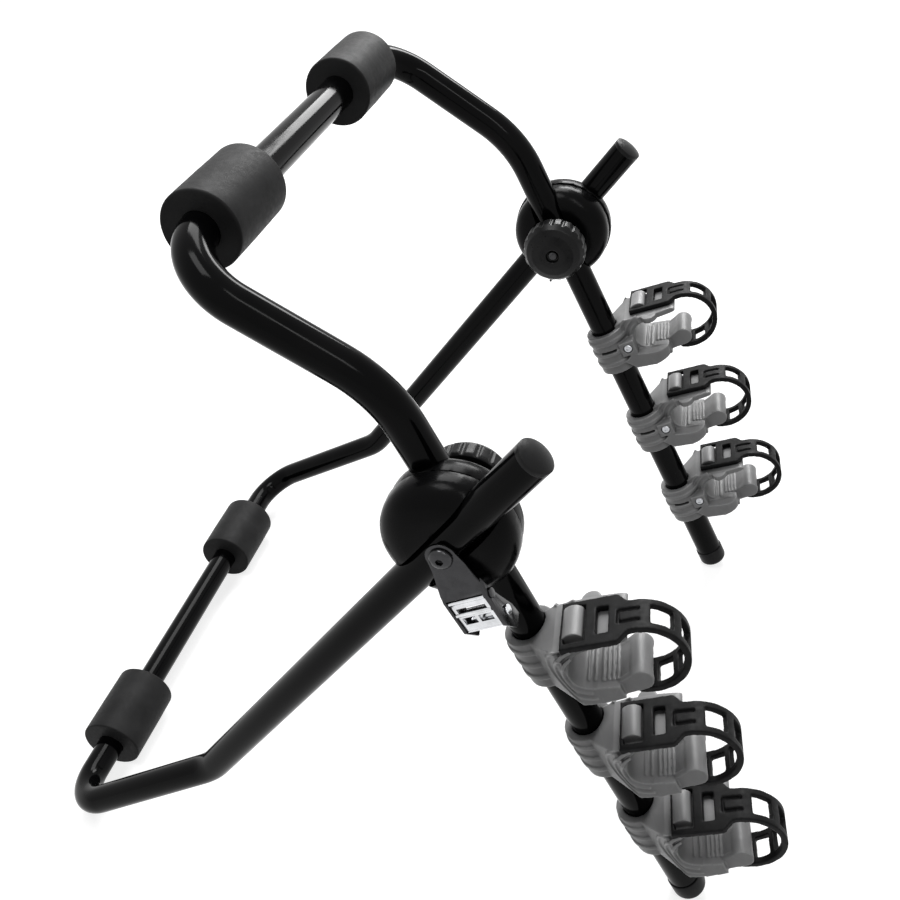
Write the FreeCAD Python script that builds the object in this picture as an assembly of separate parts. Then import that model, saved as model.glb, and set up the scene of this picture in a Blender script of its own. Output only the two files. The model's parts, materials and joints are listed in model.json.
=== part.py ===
"""Boot-mounted bike carrier with two bent tube frames, clamped at two round hubs.

Everything is drawn in the arm frame: X runs along the carrying arms towards their tips,
Y is the hinge axis with the left side negative, and Z is square to both. Paired pieces are
drawn for the right side and mirrored. At the end the carrier is stood up, so that its lower
pads and its arm ends touch the floor at Z = 0. All lengths are in millimetres.
"""
import FreeCAD, Part
import math
import os

# Bent tubes
tube_d = 28.0
tube_wall = 1.8
lower_tube_d = 27.0
lower_wall = 1.8
tube_gap = 4.5              # clear distance between the two tubes at the hub
arm_half_width = 214.5      # middle of the carrier to the axis of an arm
arm_length = 438.0          # hub axis to the end of the arm tube
upper_leg = 105.7           # hub axis to the first bend of the upper hoop
hoop_back = 235.0
hoop_drop = 82.5
hoop_flare = 7.5            # the hoop is this much wider on each side than the arms
hoop_bend_r = 110.0
hoop_corner_r = 46.0
leg_angle = 61.8            # lower legs below the line of the arms, in degrees
leg_length = 401.5
shin_length = 195.7
shin_turn = 22.5            # the shin turns back by this many degrees from the leg
shin_flare = 13.8
leg_bend_r = 62.0
foot_corner_r = 42.0
tail_length = 97.0          # the lower tube runs on past the hub axis by this much

# Foam pads on the two cross tubes
upper_foam_d = 62.0
upper_foam_length = 74.0
upper_foam_centre = 134.5
lower_foam_d = 62.0
lower_foam_length = 78.0
lower_foam_centre = 145.0
foam_edge_r = 3.0
foam_clearance = 0.1

# Tube ends
plug_d = 30.0
plug_head = 20.0
plug_edge_r = 6.0
plug_stem = 22.0
cap_thickness = 4.0
cap_crown = 2.5
stem_clearance = 0.1

# Hub shells
shell_d = 97.0
shell_step = 1.0            # the inner shell's radius is smaller by this
rim_width = 8.0
dome_height = 18.0
dome_flat_d = 52.0
joint_gap = 0.5
channel_clearance = 0.15
tooth_count = 24
tooth_depth = 1.1
tooth_start = 24.0

# Pivot bolt, spacer and hand knob
bolt_d = 8.0
bolt_clearance = 0.1
bolt_head_d = 16.5
bolt_head_height = 4.5
socket_width = 5.0
spacer_d = 36.0
spacer_height = 11.5
knob_d = 61.0
knob_rim = 15.0
knob_dome = 9.0
knob_boss_d = 34.0
knob_boss_height = 3.0
knob_flutes = 18
flute_d = 4.5
flute_depth = 1.4
dimple_d = 13.0
dimple_depth = 4.0
nut_width = 13.0
nut_height = 6.5
seat_gap = 0.3

# Strap buckle, hung on the pivot bolt
sheet = 2.0
tab_end_d = 22.0
tab_bend = 10.0             # the tab slopes outwards from here
tab_length = 33.0
tab_rise = 5.5
buckle_width = 33.0
ear_length = 75.0
ear_depth = 13.0
web_bar_d = 4.0
web_bar_at = 38.0
cam_pin_d = 5.0
cam_pin_at = 59.0
cam_d = 13.0
cam_teeth = 8
lever_length = 24.0
lever_gap = 0.6
pin_clearance = 0.08
rivet_head_d = 7.5
rivet_head_height = 1.4
left_buckle_swing = -3.0    # turns about the hinge axis from the line of the arms
right_buckle_swing = 25.0

# Cradles for the bikes' frame tubes
cradle_1_at = 115.5         # along the arm from the hub axis to each collar
cradle_2_at = 225.5
cradle_3_at = 332.5
collar_d = 41.0
collar_length = 46.0
collar_clearance = 0.3
cradle_inner = 8.0          # the cradle reaches this far inside the arm's axis
cradle_outer = 44.0
cradle_chamfer = 25.0
saddle_r = 15.0
saddle_at = 19.0            # along the arm from the collar's upper end
saddle_height = 42.0        # above the arm's axis
plate_thickness = 9.5
tongue_reach = 77.0
jaw_thickness = 16.0
jaw_slant = 3.2
jaw_wing = 20.0             # the lower jaw reaches this far inside the arm's axis
hook_d = 17.0
hook_along = -12.0
hook_height = 43.5
hook_length = 34.0
hook_inset = 5.0
knuckle_d = 18.0
knuckle_wall = 1.8
knuckle_along = 40.0
knuckle_height = 72.0
knuckle_length = 39.0
knuckle_inset = 1.0
cheek_thickness = 3.8
anchor_pin_d = 7.5
rib_count = 4
rib_d = 3.2
thumb_d = 15.0              # the rounded wing inside the hook
thumb_reach = 13.0
thumb_height = 50.0
ridge_height = 1.3
ridge_width = 4.5
lug_length = 16.0
slit_width = 2.4
screw_d = 5.0
screw_height = 18.5
screw_head_d = 9.0
left_lean = -6.0            # outward lean of each side's cradles, in degrees
right_lean = 4.0

# Ladder straps
strap_thickness = 5.0
strap_head_width = 46.0
strap_tail_width = 28.0
strap_loop_r = 32.0
strap_loop_along = 22.0
strap_loop_height = 81.0
strap_head_along = -20.3
strap_head_start = 36.2
strap_bar_d = 4.0
strap_eye_wall = 2.5
strap_window_gap = 5.5
strap_window_length = 13.0
strap_window_width = 23.0
strap_eye_clearance = 0.3
strap_rail = 5.8
strap_window = 11.0
strap_rung = 6.0
strap_ladder = 5
groove_depth = 0.8

# Worked out from the sizes above
tube_r = tube_d / 2
lower_r = lower_tube_d / 2
leg_half_width = arm_half_width + tube_r + tube_gap + lower_r
joint_y = arm_half_width + tube_r + tube_gap / 2
leg_dir = FreeCAD.Vector(math.cos(math.radians(leg_angle)), 0, -math.sin(math.radians(leg_angle)))
shin_angle = leg_angle + shin_turn
shin_run = math.sqrt(shin_length ** 2 - shin_flare ** 2)
knee = leg_dir * leg_length
foot_x = knee.x + shin_run * math.cos(math.radians(shin_angle))
foot_z = knee.z - shin_run * math.sin(math.radians(shin_angle))
foot_half_width = leg_half_width + shin_flare
hoop_half_width = arm_half_width + hoop_flare
tip_x = arm_length + plug_head
inner_face_y = joint_y - joint_gap / 2
outer_face_y = joint_y + joint_gap / 2
inner_flat_y = inner_face_y - rim_width - dome_height
knob_back_y = inner_flat_y - spacer_height - seat_gap
knob_rim_y = knob_back_y - knob_boss_height
knob_front_y = knob_rim_y - knob_rim
tab_y = leg_half_width + lower_r + seat_gap
saddle_top = saddle_at - saddle_r
saddle_low = saddle_at + saddle_r
jaw_under = saddle_low + jaw_thickness
jaw_top = knuckle_height - knuckle_d / 2 - 5.5

X_AXIS = FreeCAD.Vector(1, 0, 0)
Y_AXIS = FreeCAD.Vector(0, 1, 0)
Z_AXIS = FreeCAD.Vector(0, 0, 1)
ORIGIN = FreeCAD.Vector(0, 0, 0)


def point(x, y, z):
    """A point or direction in the arm frame."""
    return FreeCAD.Vector(x, y, z)


def rod(start, direction, diameter, length):
    """A solid round bar from a start point along a direction."""
    return Part.makeCylinder(diameter / 2, length, start, direction)


def block(x0, x1, y0, y1, z0, z1):
    """A solid box between two corners."""
    return Part.makeBox(x1 - x0, y1 - y0, z1 - z0, point(x0, y0, z0))


def mirrored(shape):
    """The left-hand copy of a right-hand shape."""
    return shape.mirror(ORIGIN, Y_AXIS)


def turned(shape, centre, axis, degrees):
    """A copy of a shape turned about an axis through a point."""
    copy = shape.copy()
    copy.rotate(centre, axis, degrees)
    return copy


def spun(profile, axis_x=0.0, axis_z=0.0):
    """Turn a closed outline of (radius, y) points about the line parallel to Y at (x, z)."""
    corners = [point(axis_x + r, y, axis_z) for r, y in profile]
    face = Part.Face(Part.makePolygon(corners + corners[:1]))
    return face.revolve(point(axis_x, 0, axis_z), Y_AXIS, 360)


def rounded_path(corners, radii):
    """A wire of straight runs through corner points, with a tangent arc at each inner one."""
    edges = []
    last = corners[0]
    for before, corner, after, radius in zip(corners, corners[1:], corners[2:], radii):
        back = (before - corner).normalize()
        ahead = (after - corner).normalize()
        turn = math.pi - back.getAngle(ahead)
        reach = radius * math.tan(turn / 2)
        inwards = (back + ahead).normalize()
        apex = corner + inwards * (radius / math.cos(turn / 2) - radius)
        start = corner + back * reach
        end = corner + ahead * reach
        edges.append(Part.LineSegment(last, start).toShape())
        edges.append(Part.Arc(start, apex, end).toShape())
        last = end
    edges.append(Part.LineSegment(last, corners[-1]).toShape())
    return Part.Wire(edges)


def bent_tube(path, diameter, wall):
    """A hollow round tube along a path."""
    start = path.Vertexes[0].Point
    direction = path.Edges[0].tangentAt(path.Edges[0].FirstParameter)
    skins = []
    for radius in (diameter / 2, diameter / 2 - wall):
        ring = Part.Wire([Part.Circle(start, direction, radius).toShape()])
        skins.append(path.makePipeShell([ring], True, False))
    return skins[0].cut(skins[1])


def slab(outline, y0, y1):
    """A flat piece between two y planes, from a list of edges in the XZ plane at y = 0."""
    face = Part.Face(Part.Wire(outline))
    face.translate(point(0, y0, 0))
    return face.extrude(point(0, y1 - y0, 0))


def polygon_edges(points):
    """Straight edges in the XZ plane through (x, z) points, closed."""
    corners = [point(x, 0, z) for x, z in points]
    return [Part.LineSegment(a, b).toShape() for a, b in zip(corners, corners[1:] + corners[:1])]


def hex_prism(centre, width, height):
    """A hexagon across flats, extruded along Y from its centre point."""
    outer = width / math.sqrt(3)
    corners = [
        centre + point(outer * math.cos(math.radians(60 * k)), 0, outer * math.sin(math.radians(60 * k)))
        for k in range(6)
    ]
    return Part.Face(Part.makePolygon(corners + corners[:1])).extrude(point(0, height, 0))


def bolt_hole(clearance):
    """A hole for the right pivot bolt through everything on the hinge axis."""
    return rod(ORIGIN, Y_AXIS, bolt_d + 2 * clearance, 2 * leg_half_width)


def main_frame():
    """One tube that makes both arms, the upper legs and the upper cross tube."""
    w = arm_half_width
    corners = [
        point(arm_length, -w, 0),
        point(-upper_leg, -w, 0),
        point(-hoop_back, -hoop_half_width, -hoop_drop),
        point(-hoop_back, hoop_half_width, -hoop_drop),
        point(-upper_leg, w, 0),
        point(arm_length, w, 0),
    ]
    radii = [hoop_bend_r, hoop_corner_r, hoop_corner_r, hoop_bend_r]
    hole = bolt_hole(bolt_clearance)
    return bent_tube(rounded_path(corners, radii), tube_d, tube_wall).cut([hole, mirrored(hole)])


def lower_frame():
    """One tube that makes the tails, the lower legs and the foot cross tube."""
    w = leg_half_width
    corners = [
        leg_dir * -tail_length - Y_AXIS * w,
        knee - Y_AXIS * w,
        point(foot_x, -foot_half_width, foot_z),
        point(foot_x, foot_half_width, foot_z),
        knee + Y_AXIS * w,
        leg_dir * -tail_length + Y_AXIS * w,
    ]
    radii = [leg_bend_r, foot_corner_r, foot_corner_r, leg_bend_r]
    hole = bolt_hole(bolt_clearance)
    return bent_tube(rounded_path(corners, radii), lower_tube_d, lower_wall).cut([hole, mirrored(hole)])


def foam_pad(x, z, centre, length, outer_d, core_d):
    """A foam sleeve with rounded rims round a cross tube at (x, z)."""
    outside = rod(point(x, centre - length / 2, z), Y_AXIS, outer_d, length)
    rims = [e for e in outside.Edges if e.Length > 0.9 * math.pi * outer_d]
    outside = outside.makeFillet(foam_edge_r, rims)
    return outside.cut(rod(point(x, centre - length, z), Y_AXIS, core_d + 2 * foam_clearance, 2 * length))


def arm_plug():
    """The rounded plastic plug in the end of the right arm."""
    start = point(arm_length, arm_half_width, 0)
    head = rod(start, X_AXIS, plug_d, plug_head)
    rim = [e for e in head.Edges if e.Length > 2 * plug_d and e.CenterOfMass.x > arm_length + 1]
    head = head.makeFillet(plug_edge_r, rim)
    bore = tube_d - 2 * tube_wall - 2 * stem_clearance
    return head.fuse(rod(start - X_AXIS * plug_stem, X_AXIS, bore, plug_stem))


def tail_cap():
    """The crowned cap in the upper end of the right tail."""
    start = leg_dir * -tail_length + Y_AXIS * leg_half_width
    outwards = leg_dir * -1
    rim = rod(start, outwards, lower_tube_d, cap_thickness)
    ball_r = (lower_r ** 2 + cap_crown ** 2) / (2 * cap_crown)
    ball = Part.makeSphere(ball_r, start + outwards * (cap_thickness + cap_crown - ball_r))
    crown = ball.common(rod(start + outwards * cap_thickness, outwards, lower_tube_d, cap_crown * 2))
    bore = lower_tube_d - 2 * lower_wall - 2 * stem_clearance
    stem = rod(start - outwards * plug_stem, outwards, bore, plug_stem)
    return rim.fuse([crown, stem])


def dome_profile(face_y, outwards, radius):
    """Outline of a hub shell from its joint face to its flat, as (radius, y) points."""
    rim_y = face_y + outwards * rim_width
    top_y = rim_y + outwards * dome_height
    flat_r = dome_flat_d / 2
    steps = 7
    dome = []
    for k in range(steps + 1):
        angle = math.radians(90 * k / steps)
        r = flat_r + (radius - flat_r) * math.cos(angle)
        dome.append((r, rim_y + (top_y - rim_y) * math.sin(angle)))
    return [(0, face_y), (radius - 1, face_y), (radius, face_y + outwards)] + dome + [(0, top_y)]


def hub_shell(face_y, outwards, radius, tube_y, diameter, tube_angle):
    """Half of a hub: a domed disc with radial teeth on its face and an open channel for its tube."""
    body = spun(dome_profile(face_y, outwards, radius))
    channel_r = diameter / 2 + channel_clearance
    channel = rod(point(-shell_d, tube_y, 0), X_AXIS, 2 * channel_r, 2 * shell_d)
    far_y = tube_y + outwards * 3 * dome_height
    slot = block(-shell_d, shell_d, min(tube_y, far_y), max(tube_y, far_y), -channel_r, channel_r)
    half_pitch = math.pi * radius / tooth_count
    base_y = face_y - outwards
    tip_y = face_y + outwards * tooth_depth
    half = half_pitch * (1 + 1 / tooth_depth) * 0.8
    triangle = [
        point(tooth_start, tip_y, 0),
        point(tooth_start, base_y, half),
        point(tooth_start, base_y, -half),
    ]
    groove = Part.Face(Part.makePolygon(triangle + triangle[:1])).extrude(point(radius, 0, 0))
    phase = 0.25 if outwards > 0 else 0.75
    grooves = [
        turned(groove, ORIGIN, Y_AXIS, 360.0 * (k + phase) / tooth_count)
        for k in range(tooth_count)
    ]
    body = body.cut([channel, slot, bolt_hole(bolt_clearance)] + grooves)
    return turned(body, ORIGIN, Y_AXIS, tube_angle)


def saddle_spacer():
    """The spacer between the hub and the knob, hollowed to sit over the arm tube."""
    start = point(0, inner_flat_y - spacer_height, 0)
    disc = rod(start, Y_AXIS, spacer_d, spacer_height)
    tube = rod(point(-spacer_d, arm_half_width, 0), X_AXIS, tube_d + 2 * channel_clearance, 2 * spacer_d)
    return disc.cut([tube, bolt_hole(bolt_clearance)])


def pivot_bolt():
    """The bolt through both tubes, with a domed head outside the buckle."""
    head_y = tab_y + sheet + seat_gap
    end_y = knob_front_y - knob_dome + dimple_depth / 2
    shank = rod(point(0, end_y, 0), Y_AXIS, bolt_d, head_y - end_y)
    r = bolt_head_d / 2
    h = bolt_head_height
    head = spun([(0, head_y), (r, head_y), (r, head_y + h * 0.35), (r * 0.92, head_y + h * 0.62),
                 (r * 0.72, head_y + h * 0.86), (r * 0.4, head_y + h), (0, head_y + h)])
    socket = hex_prism(point(0, head_y + h * 0.4, 0), socket_width, h)
    return shank.fuse(head).cut(socket)


def hand_knob():
    """The fluted clamping knob with a crowned face and a dimple over the bolt."""
    r = knob_d / 2
    crown = [(r - 1.5, knob_front_y), (r * 0.87, knob_front_y - knob_dome * 0.4),
             (r * 0.68, knob_front_y - knob_dome * 0.75), (r * 0.42, knob_front_y - knob_dome * 0.96),
             (r * 0.25, knob_front_y - knob_dome), (0, knob_front_y - knob_dome)]
    outline = [(0, knob_back_y), (knob_boss_d / 2, knob_back_y), (knob_boss_d / 2, knob_rim_y),
               (r - 2, knob_rim_y), (r, knob_rim_y - 2), (r, knob_front_y + 2)] + crown
    cuts = []
    reach = r + flute_d / 2 - flute_depth
    for k in range(knob_flutes):
        angle = 2 * math.pi * k / knob_flutes
        foot = point(reach * math.cos(angle), knob_front_y - 1, reach * math.sin(angle))
        cuts.append(rod(foot, Y_AXIS, flute_d, knob_rim + knob_boss_height))
    below = point(0, knob_front_y - 2 * knob_dome, 0)
    cuts.append(rod(below, Y_AXIS, dimple_d, knob_dome + dimple_depth))
    cuts.append(rod(below, Y_AXIS, bolt_d + 2 * seat_gap, 4 * knob_rim))
    pocket = nut_width + 2 * stem_clearance
    cuts.append(hex_prism(point(0, knob_rim_y - nut_height, 0), pocket, 4 * nut_height))
    return spun(outline).cut(cuts)


def knob_nut():
    """The captive nut in the back of the knob."""
    start = point(0, knob_rim_y - nut_height, 0)
    return hex_prism(start, nut_width, nut_height).cut(bolt_hole(pin_clearance))


def buckle_bracket():
    """The folded sheet of the buckle: a sloping tab under the bolt head between two ears."""
    half = buckle_width / 2
    r = tab_end_d / 2
    edges = [
        Part.Arc(point(0, 0, -r), point(-r, 0, 0), point(0, 0, r)).toShape(),
        Part.LineSegment(point(0, 0, r), point(tab_length * 0.85, 0, half)).toShape(),
        Part.LineSegment(point(tab_length * 0.85, 0, half), point(tab_length, 0, half)).toShape(),
        Part.LineSegment(point(tab_length, 0, half), point(tab_length, 0, -half)).toShape(),
        Part.LineSegment(point(tab_length, 0, -half), point(tab_length * 0.85, 0, -half)).toShape(),
        Part.LineSegment(point(tab_length * 0.85, 0, -half), point(0, 0, -r)).toShape(),
    ]
    plan = slab(edges, tab_y - 1, tab_y + tab_rise + 2 * sheet)
    side = [(-r - 1, tab_y), (tab_bend, tab_y), (tab_length, tab_y + tab_rise),
            (tab_length, tab_y + tab_rise + sheet), (tab_bend, tab_y + sheet), (-r - 1, tab_y + sheet)]
    corners = [point(x, y, -half) for x, y in side]
    sloped = Part.Face(Part.makePolygon(corners + corners[:1])).extrude(point(0, 0, 2 * half))
    tab = sloped.common(plan)
    top = tab_y + tab_rise + sheet
    ear_side = [(tab_length * 0.72, tab_y + 2), (tab_length * 0.85, top - 1.5), (tab_length, top + 0.6),
                (ear_length - 13, top + 1.6), (ear_length, tab_y - 1),
                (ear_length - 3, tab_y + 1 - ear_depth),
                (ear_length - 13, tab_y + 2 - ear_depth), (tab_length + 6, tab_y - 1.5)]
    ears = []
    for z in (-half, half - sheet):
        ring = [point(x, y, z) for x, y in ear_side]
        ears.append(Part.Face(Part.makePolygon(ring + ring[:1])).extrude(point(0, 0, sheet)))
    holes = [bolt_hole(bolt_clearance)]
    for x, diameter in ((web_bar_at, web_bar_d), (cam_pin_at, cam_pin_d)):
        start = point(x, pin_y(x), -half - 1)
        holes.append(rod(start, Z_AXIS, diameter + 2 * pin_clearance, buckle_width + 2))
    return tab.fuse(ears).cut(holes)


def pin_y(x):
    """How far out a pin across the buckle lies."""
    return tab_y - 2.5 if x == cam_pin_at else tab_y + 2.1


def buckle_pin(x, diameter):
    """A pin across the buckle with a rivet head outside each ear."""
    half = buckle_width / 2 + pin_clearance
    pin = rod(point(x, pin_y(x), -half), Z_AXIS, diameter, 2 * half)
    heads = [rod(point(x, pin_y(x), z), Z_AXIS, rivet_head_d, rivet_head_height)
             for z in (-half - rivet_head_height, half)]
    return pin.fuse(heads)


def cam_lever():
    """The toothed cam and its thumb plate, turning on the cam pin."""
    half = buckle_width / 2 - sheet - lever_gap
    y = pin_y(cam_pin_at)
    drum = rod(point(cam_pin_at, y, -half), Z_AXIS, cam_d, 2 * half)
    added = []
    for k in range(cam_teeth):
        angle = math.radians(150 + 18 * k)
        tooth = point(cam_pin_at + cam_d / 2 * math.cos(angle), y + cam_d / 2 * math.sin(angle), -half)
        added.append(rod(tooth, Z_AXIS, 1.8, 2 * half))
    top = tab_y + tab_rise + sheet
    far = cam_pin_at + 4
    near = cam_pin_at - lever_length
    plate = block(near, far, top - sheet, top, -half, half)
    windows = []
    for z in (-half * 0.75, half * 0.12):
        windows.append(block(near + 15.5, near + 19.5, top - 2 * sheet, top + 1, z, z + half * 0.63))
    added.append(plate.cut(windows))
    added.append(block(cam_pin_at - 3, far, y, top - sheet / 2, -half, half))
    added.append(rod(point(near + 11.5, top - 0.4, -half), Z_AXIS, 3.2, 2 * half))
    added.append(rod(point(near + 0.8, top - sheet / 2, -half), Z_AXIS, sheet * 1.5, 2 * half))
    bore = rod(point(cam_pin_at, y, -half - 1), Z_AXIS, cam_pin_d + 2 * pin_clearance, 2 * half + 2)
    return drum.fuse(added).cut(bore)


def cradle_side_view():
    """Outline of a cradle's plate, saddle and jaw, as edges in the XZ plane."""
    plate_top = saddle_top - plate_thickness
    nose_z = tongue_reach - plate_thickness * 0.45
    root_z = 1.0
    c = {
        "root_up": point(0, 0, root_z),
        "lip": point(-1.5, 0, 8),
        "plate_start": point(plate_top, 0, 24),
        "nose_up": point(plate_top, 0, nose_z),
        "nose": point((plate_top + saddle_top) / 2, 0, tongue_reach),
        "nose_low": point(saddle_top, 0, nose_z),
        "saddle_up": point(saddle_top, 0, saddle_height),
        "saddle_deep": point(saddle_at, 0, saddle_height - saddle_r),
        "saddle_low": point(saddle_low, 0, saddle_height),
        "jaw_up": point(saddle_low + jaw_slant, 0, jaw_top),
        "jaw_low": point(jaw_under - 0.5, 0, jaw_top),
        "heel_up": point(jaw_under, 0, 40),
        "heel": point(collar_length + 1, 0, 20),
        "root_low": point(collar_length, 0, root_z),
    }
    order = ["root_up", "lip", "plate_start", "nose_up", "nose_low", "saddle_up", "saddle_low",
             "jaw_up", "jaw_low", "heel_up", "heel", "root_low"]
    edges = []
    for a, b in zip(order, order[1:] + order[:1]):
        if a == "nose_up":
            edges.append(Part.Arc(c[a], c["nose"], c[b]).toShape())
        elif a == "saddle_up":
            edges.append(Part.Arc(c[a], c["saddle_deep"], c[b]).toShape())
        else:
            edges.append(Part.LineSegment(c[a], c[b]).toShape())
    return edges


def knuckle():
    """The hollow end of a jaw, with a pin inside that holds a strap's eye."""
    r = knuckle_d / 2
    y0 = knuckle_inset
    y1 = y0 + knuckle_length
    axis = point(knuckle_along, y0, knuckle_height)
    shell = rod(axis, Y_AXIS, knuckle_d, knuckle_length).cut(
        rod(axis, Y_AXIS, knuckle_d - 2 * knuckle_wall, knuckle_length))
    mouth = [(knuckle_along, knuckle_height)]
    for degrees in (85, 45, 0, -45, -98):
        angle = math.radians(degrees)
        mouth.append((knuckle_along + 2 * r * math.cos(angle), knuckle_height + 2 * r * math.sin(angle)))
    shell = shell.cut(slab(polygon_edges(mouth), y0 - 1, y1 + 1))
    web = [(knuckle_along - r * 0.72, knuckle_height - r * 0.72), (saddle_low + jaw_slant, jaw_top - 1),
           (knuckle_along + 3, jaw_top - 1), (knuckle_along + 0.5, knuckle_height - r + 0.3),
           (knuckle_along - 2, knuckle_height - r + 1.2)]
    pieces = [slab(polygon_edges(web), y0, y1)]
    cheek = [(knuckle_along - r, knuckle_height - 1), (saddle_low + jaw_slant, jaw_top - 2),
             (jaw_under - 0.5, jaw_top - 2), (knuckle_along + r, knuckle_height - 1)]
    for start in (y0, y1 - cheek_thickness):
        pieces.append(slab(polygon_edges(cheek), start, start + cheek_thickness))
        pieces.append(rod(point(knuckle_along, start, knuckle_height), Y_AXIS, knuckle_d, cheek_thickness))
    pieces.append(rod(axis, Y_AXIS, anchor_pin_d, knuckle_length))
    return shell.fuse(pieces)


def cradle():
    """A moulded cradle: collar, upper plate with its hook, saddle, and jaw with its knuckle."""
    body = slab(cradle_side_view(), -cradle_inner, cradle_outer)
    chamfer = [point(-50, collar_d / 2 - 1, 1), point(-50, cradle_outer + 1, 2 + cradle_chamfer),
               point(-50, cradle_outer + 1, -30), point(-50, collar_d / 2 - 1, -30)]
    body = body.cut(Part.Face(Part.makePolygon(chamfer + chamfer[:1])).extrude(point(150, 0, 0)))
    wing = [
        (saddle_low, saddle_height - 6),
        (saddle_low + jaw_slant, jaw_top),
        (jaw_under - 3, jaw_top - 2),
        (jaw_under, 40),
        (collar_length + 1, 20),
        (collar_length - 10, 10),
        (saddle_low - 4, 20),
    ]
    wing_slab = slab(polygon_edges(wing), -jaw_wing, -cradle_inner)
    rounding = rod(point(-20, -jaw_wing + 14, jaw_top - 14), X_AXIS, 28, 120)
    rounding = rounding.fuse(block(-20, 100, -jaw_wing, 0, -10, jaw_top - 14))
    wing_slab = wing_slab.common(rounding.fuse(block(-20, 100, -jaw_wing + 14, 0, -10, jaw_top)))
    collar = rod(ORIGIN, X_AXIS, collar_d, collar_length)
    hook = rod(point(hook_along, hook_inset, hook_height), Y_AXIS, hook_d, hook_length)
    neck = block(hook_along, saddle_top - 3, hook_inset, hook_inset + hook_length,
                 hook_height - 4, hook_height + hook_d / 2 - 0.8)
    ribs = []
    lowest_rib = saddle_height + rib_d * 1.2
    rib_step = (jaw_top - rib_d * 0.45 - lowest_rib) / (rib_count - 1)
    for k in range(rib_count):
        z = lowest_rib + k * rib_step
        x = saddle_low + jaw_slant * (z - saddle_height) / (jaw_top - saddle_height)
        ribs.append(rod(point(x + 0.2, knuckle_inset + 1, z), Y_AXIS, rib_d * 0.8, knuckle_length - 4))
    plate_top = saddle_top - plate_thickness
    thumb_start = point(plate_top + 1, -thumb_reach + thumb_d / 4, thumb_height)
    thumb = rod(thumb_start, X_AXIS, thumb_d, plate_thickness - 2)
    thumb_root = block(plate_top + 1, saddle_top - 1, thumb_start.y, 0,
                       thumb_height - thumb_d * 0.8, thumb_height + thumb_d / 2)
    low = screw_height - lug_length / 2
    lug = block(saddle_at - 5, saddle_at + lug_length - 5,
                -collar_d / 2 + 0.5, -cradle_inner, low, low + lug_length)
    ridges = [rod(point(x, 0, 0), X_AXIS, collar_d + 2 * ridge_height, ridge_width) for x in (6, 19, 32)]
    solid = body.fuse([wing_slab, collar, hook, neck, knuckle(), lug, thumb, thumb_root] + ridges + ribs)
    bore = rod(point(-saddle_r, 0, 0), X_AXIS, tube_d + 2 * collar_clearance, 3 * collar_length)
    slit = block(saddle_at - slit_width / 2, saddle_at + slit_width / 2, -collar_d, -tube_r - 1, -10, 7)
    seat = point(saddle_at + 3, -collar_d, screw_height)
    hole = rod(seat, Y_AXIS, screw_d, collar_d + 12)
    counterbore = rod(seat, Y_AXIS, screw_head_d + 1, collar_d / 2 + 3)
    return solid.cut([bore, slit, hole, counterbore]).removeSplitter()


def cradle_screw():
    """The clamping screw of a cradle's collar, with its head in the counterbore."""
    seat_y = -collar_d / 2 + 3
    x = saddle_at + 3
    shank = rod(point(x, seat_y, screw_height), Y_AXIS, screw_d, collar_d / 2 + 9)
    r = screw_head_d / 2
    outline = [(0, seat_y), (r, seat_y), (r, seat_y - 1.6), (r * 0.7, seat_y - 2.8), (0, seat_y - 3.0)]
    head = spun(outline, x, screw_height)
    return shank.fuse(head).cut(hex_prism(point(x, seat_y - 4, screw_height), 3.0, 2.4))


def strap_band(offset):
    """Edges of a strap's face at an offset from its middle line, from the head to the loop's end."""
    centre = point(strap_loop_along, 0, strap_loop_height)
    head = point(strap_head_along, 0, strap_head_start)
    away = head - centre
    tangent = math.atan2(away.z, away.x) - math.acos(strap_loop_r / away.Length)
    normal = point(math.cos(tangent), 0, math.sin(tangent))
    r = strap_loop_r + offset
    middle = (tangent % (2 * math.pi)) / 2
    loop_start = centre + normal * r
    loop_mid = centre + point(math.cos(middle), 0, math.sin(middle)) * r
    loop_end = centre + X_AXIS * r
    straight = Part.LineSegment(head + normal * offset, loop_start).toShape()
    return [straight, Part.Arc(loop_start, loop_mid, loop_end).toShape()]


def ladder_cutter(degrees, length, width, middle_y):
    """A block that cuts one window through the strap's loop at an angle round it."""
    cutter = block(strap_loop_along + strap_loop_r - 8, strap_loop_along + strap_loop_r + 8,
                   middle_y - width / 2, middle_y + width / 2,
                   strap_loop_height - length / 2, strap_loop_height + length / 2)
    return turned(cutter, point(strap_loop_along, 0, strap_loop_height), Y_AXIS, -degrees)


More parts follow.
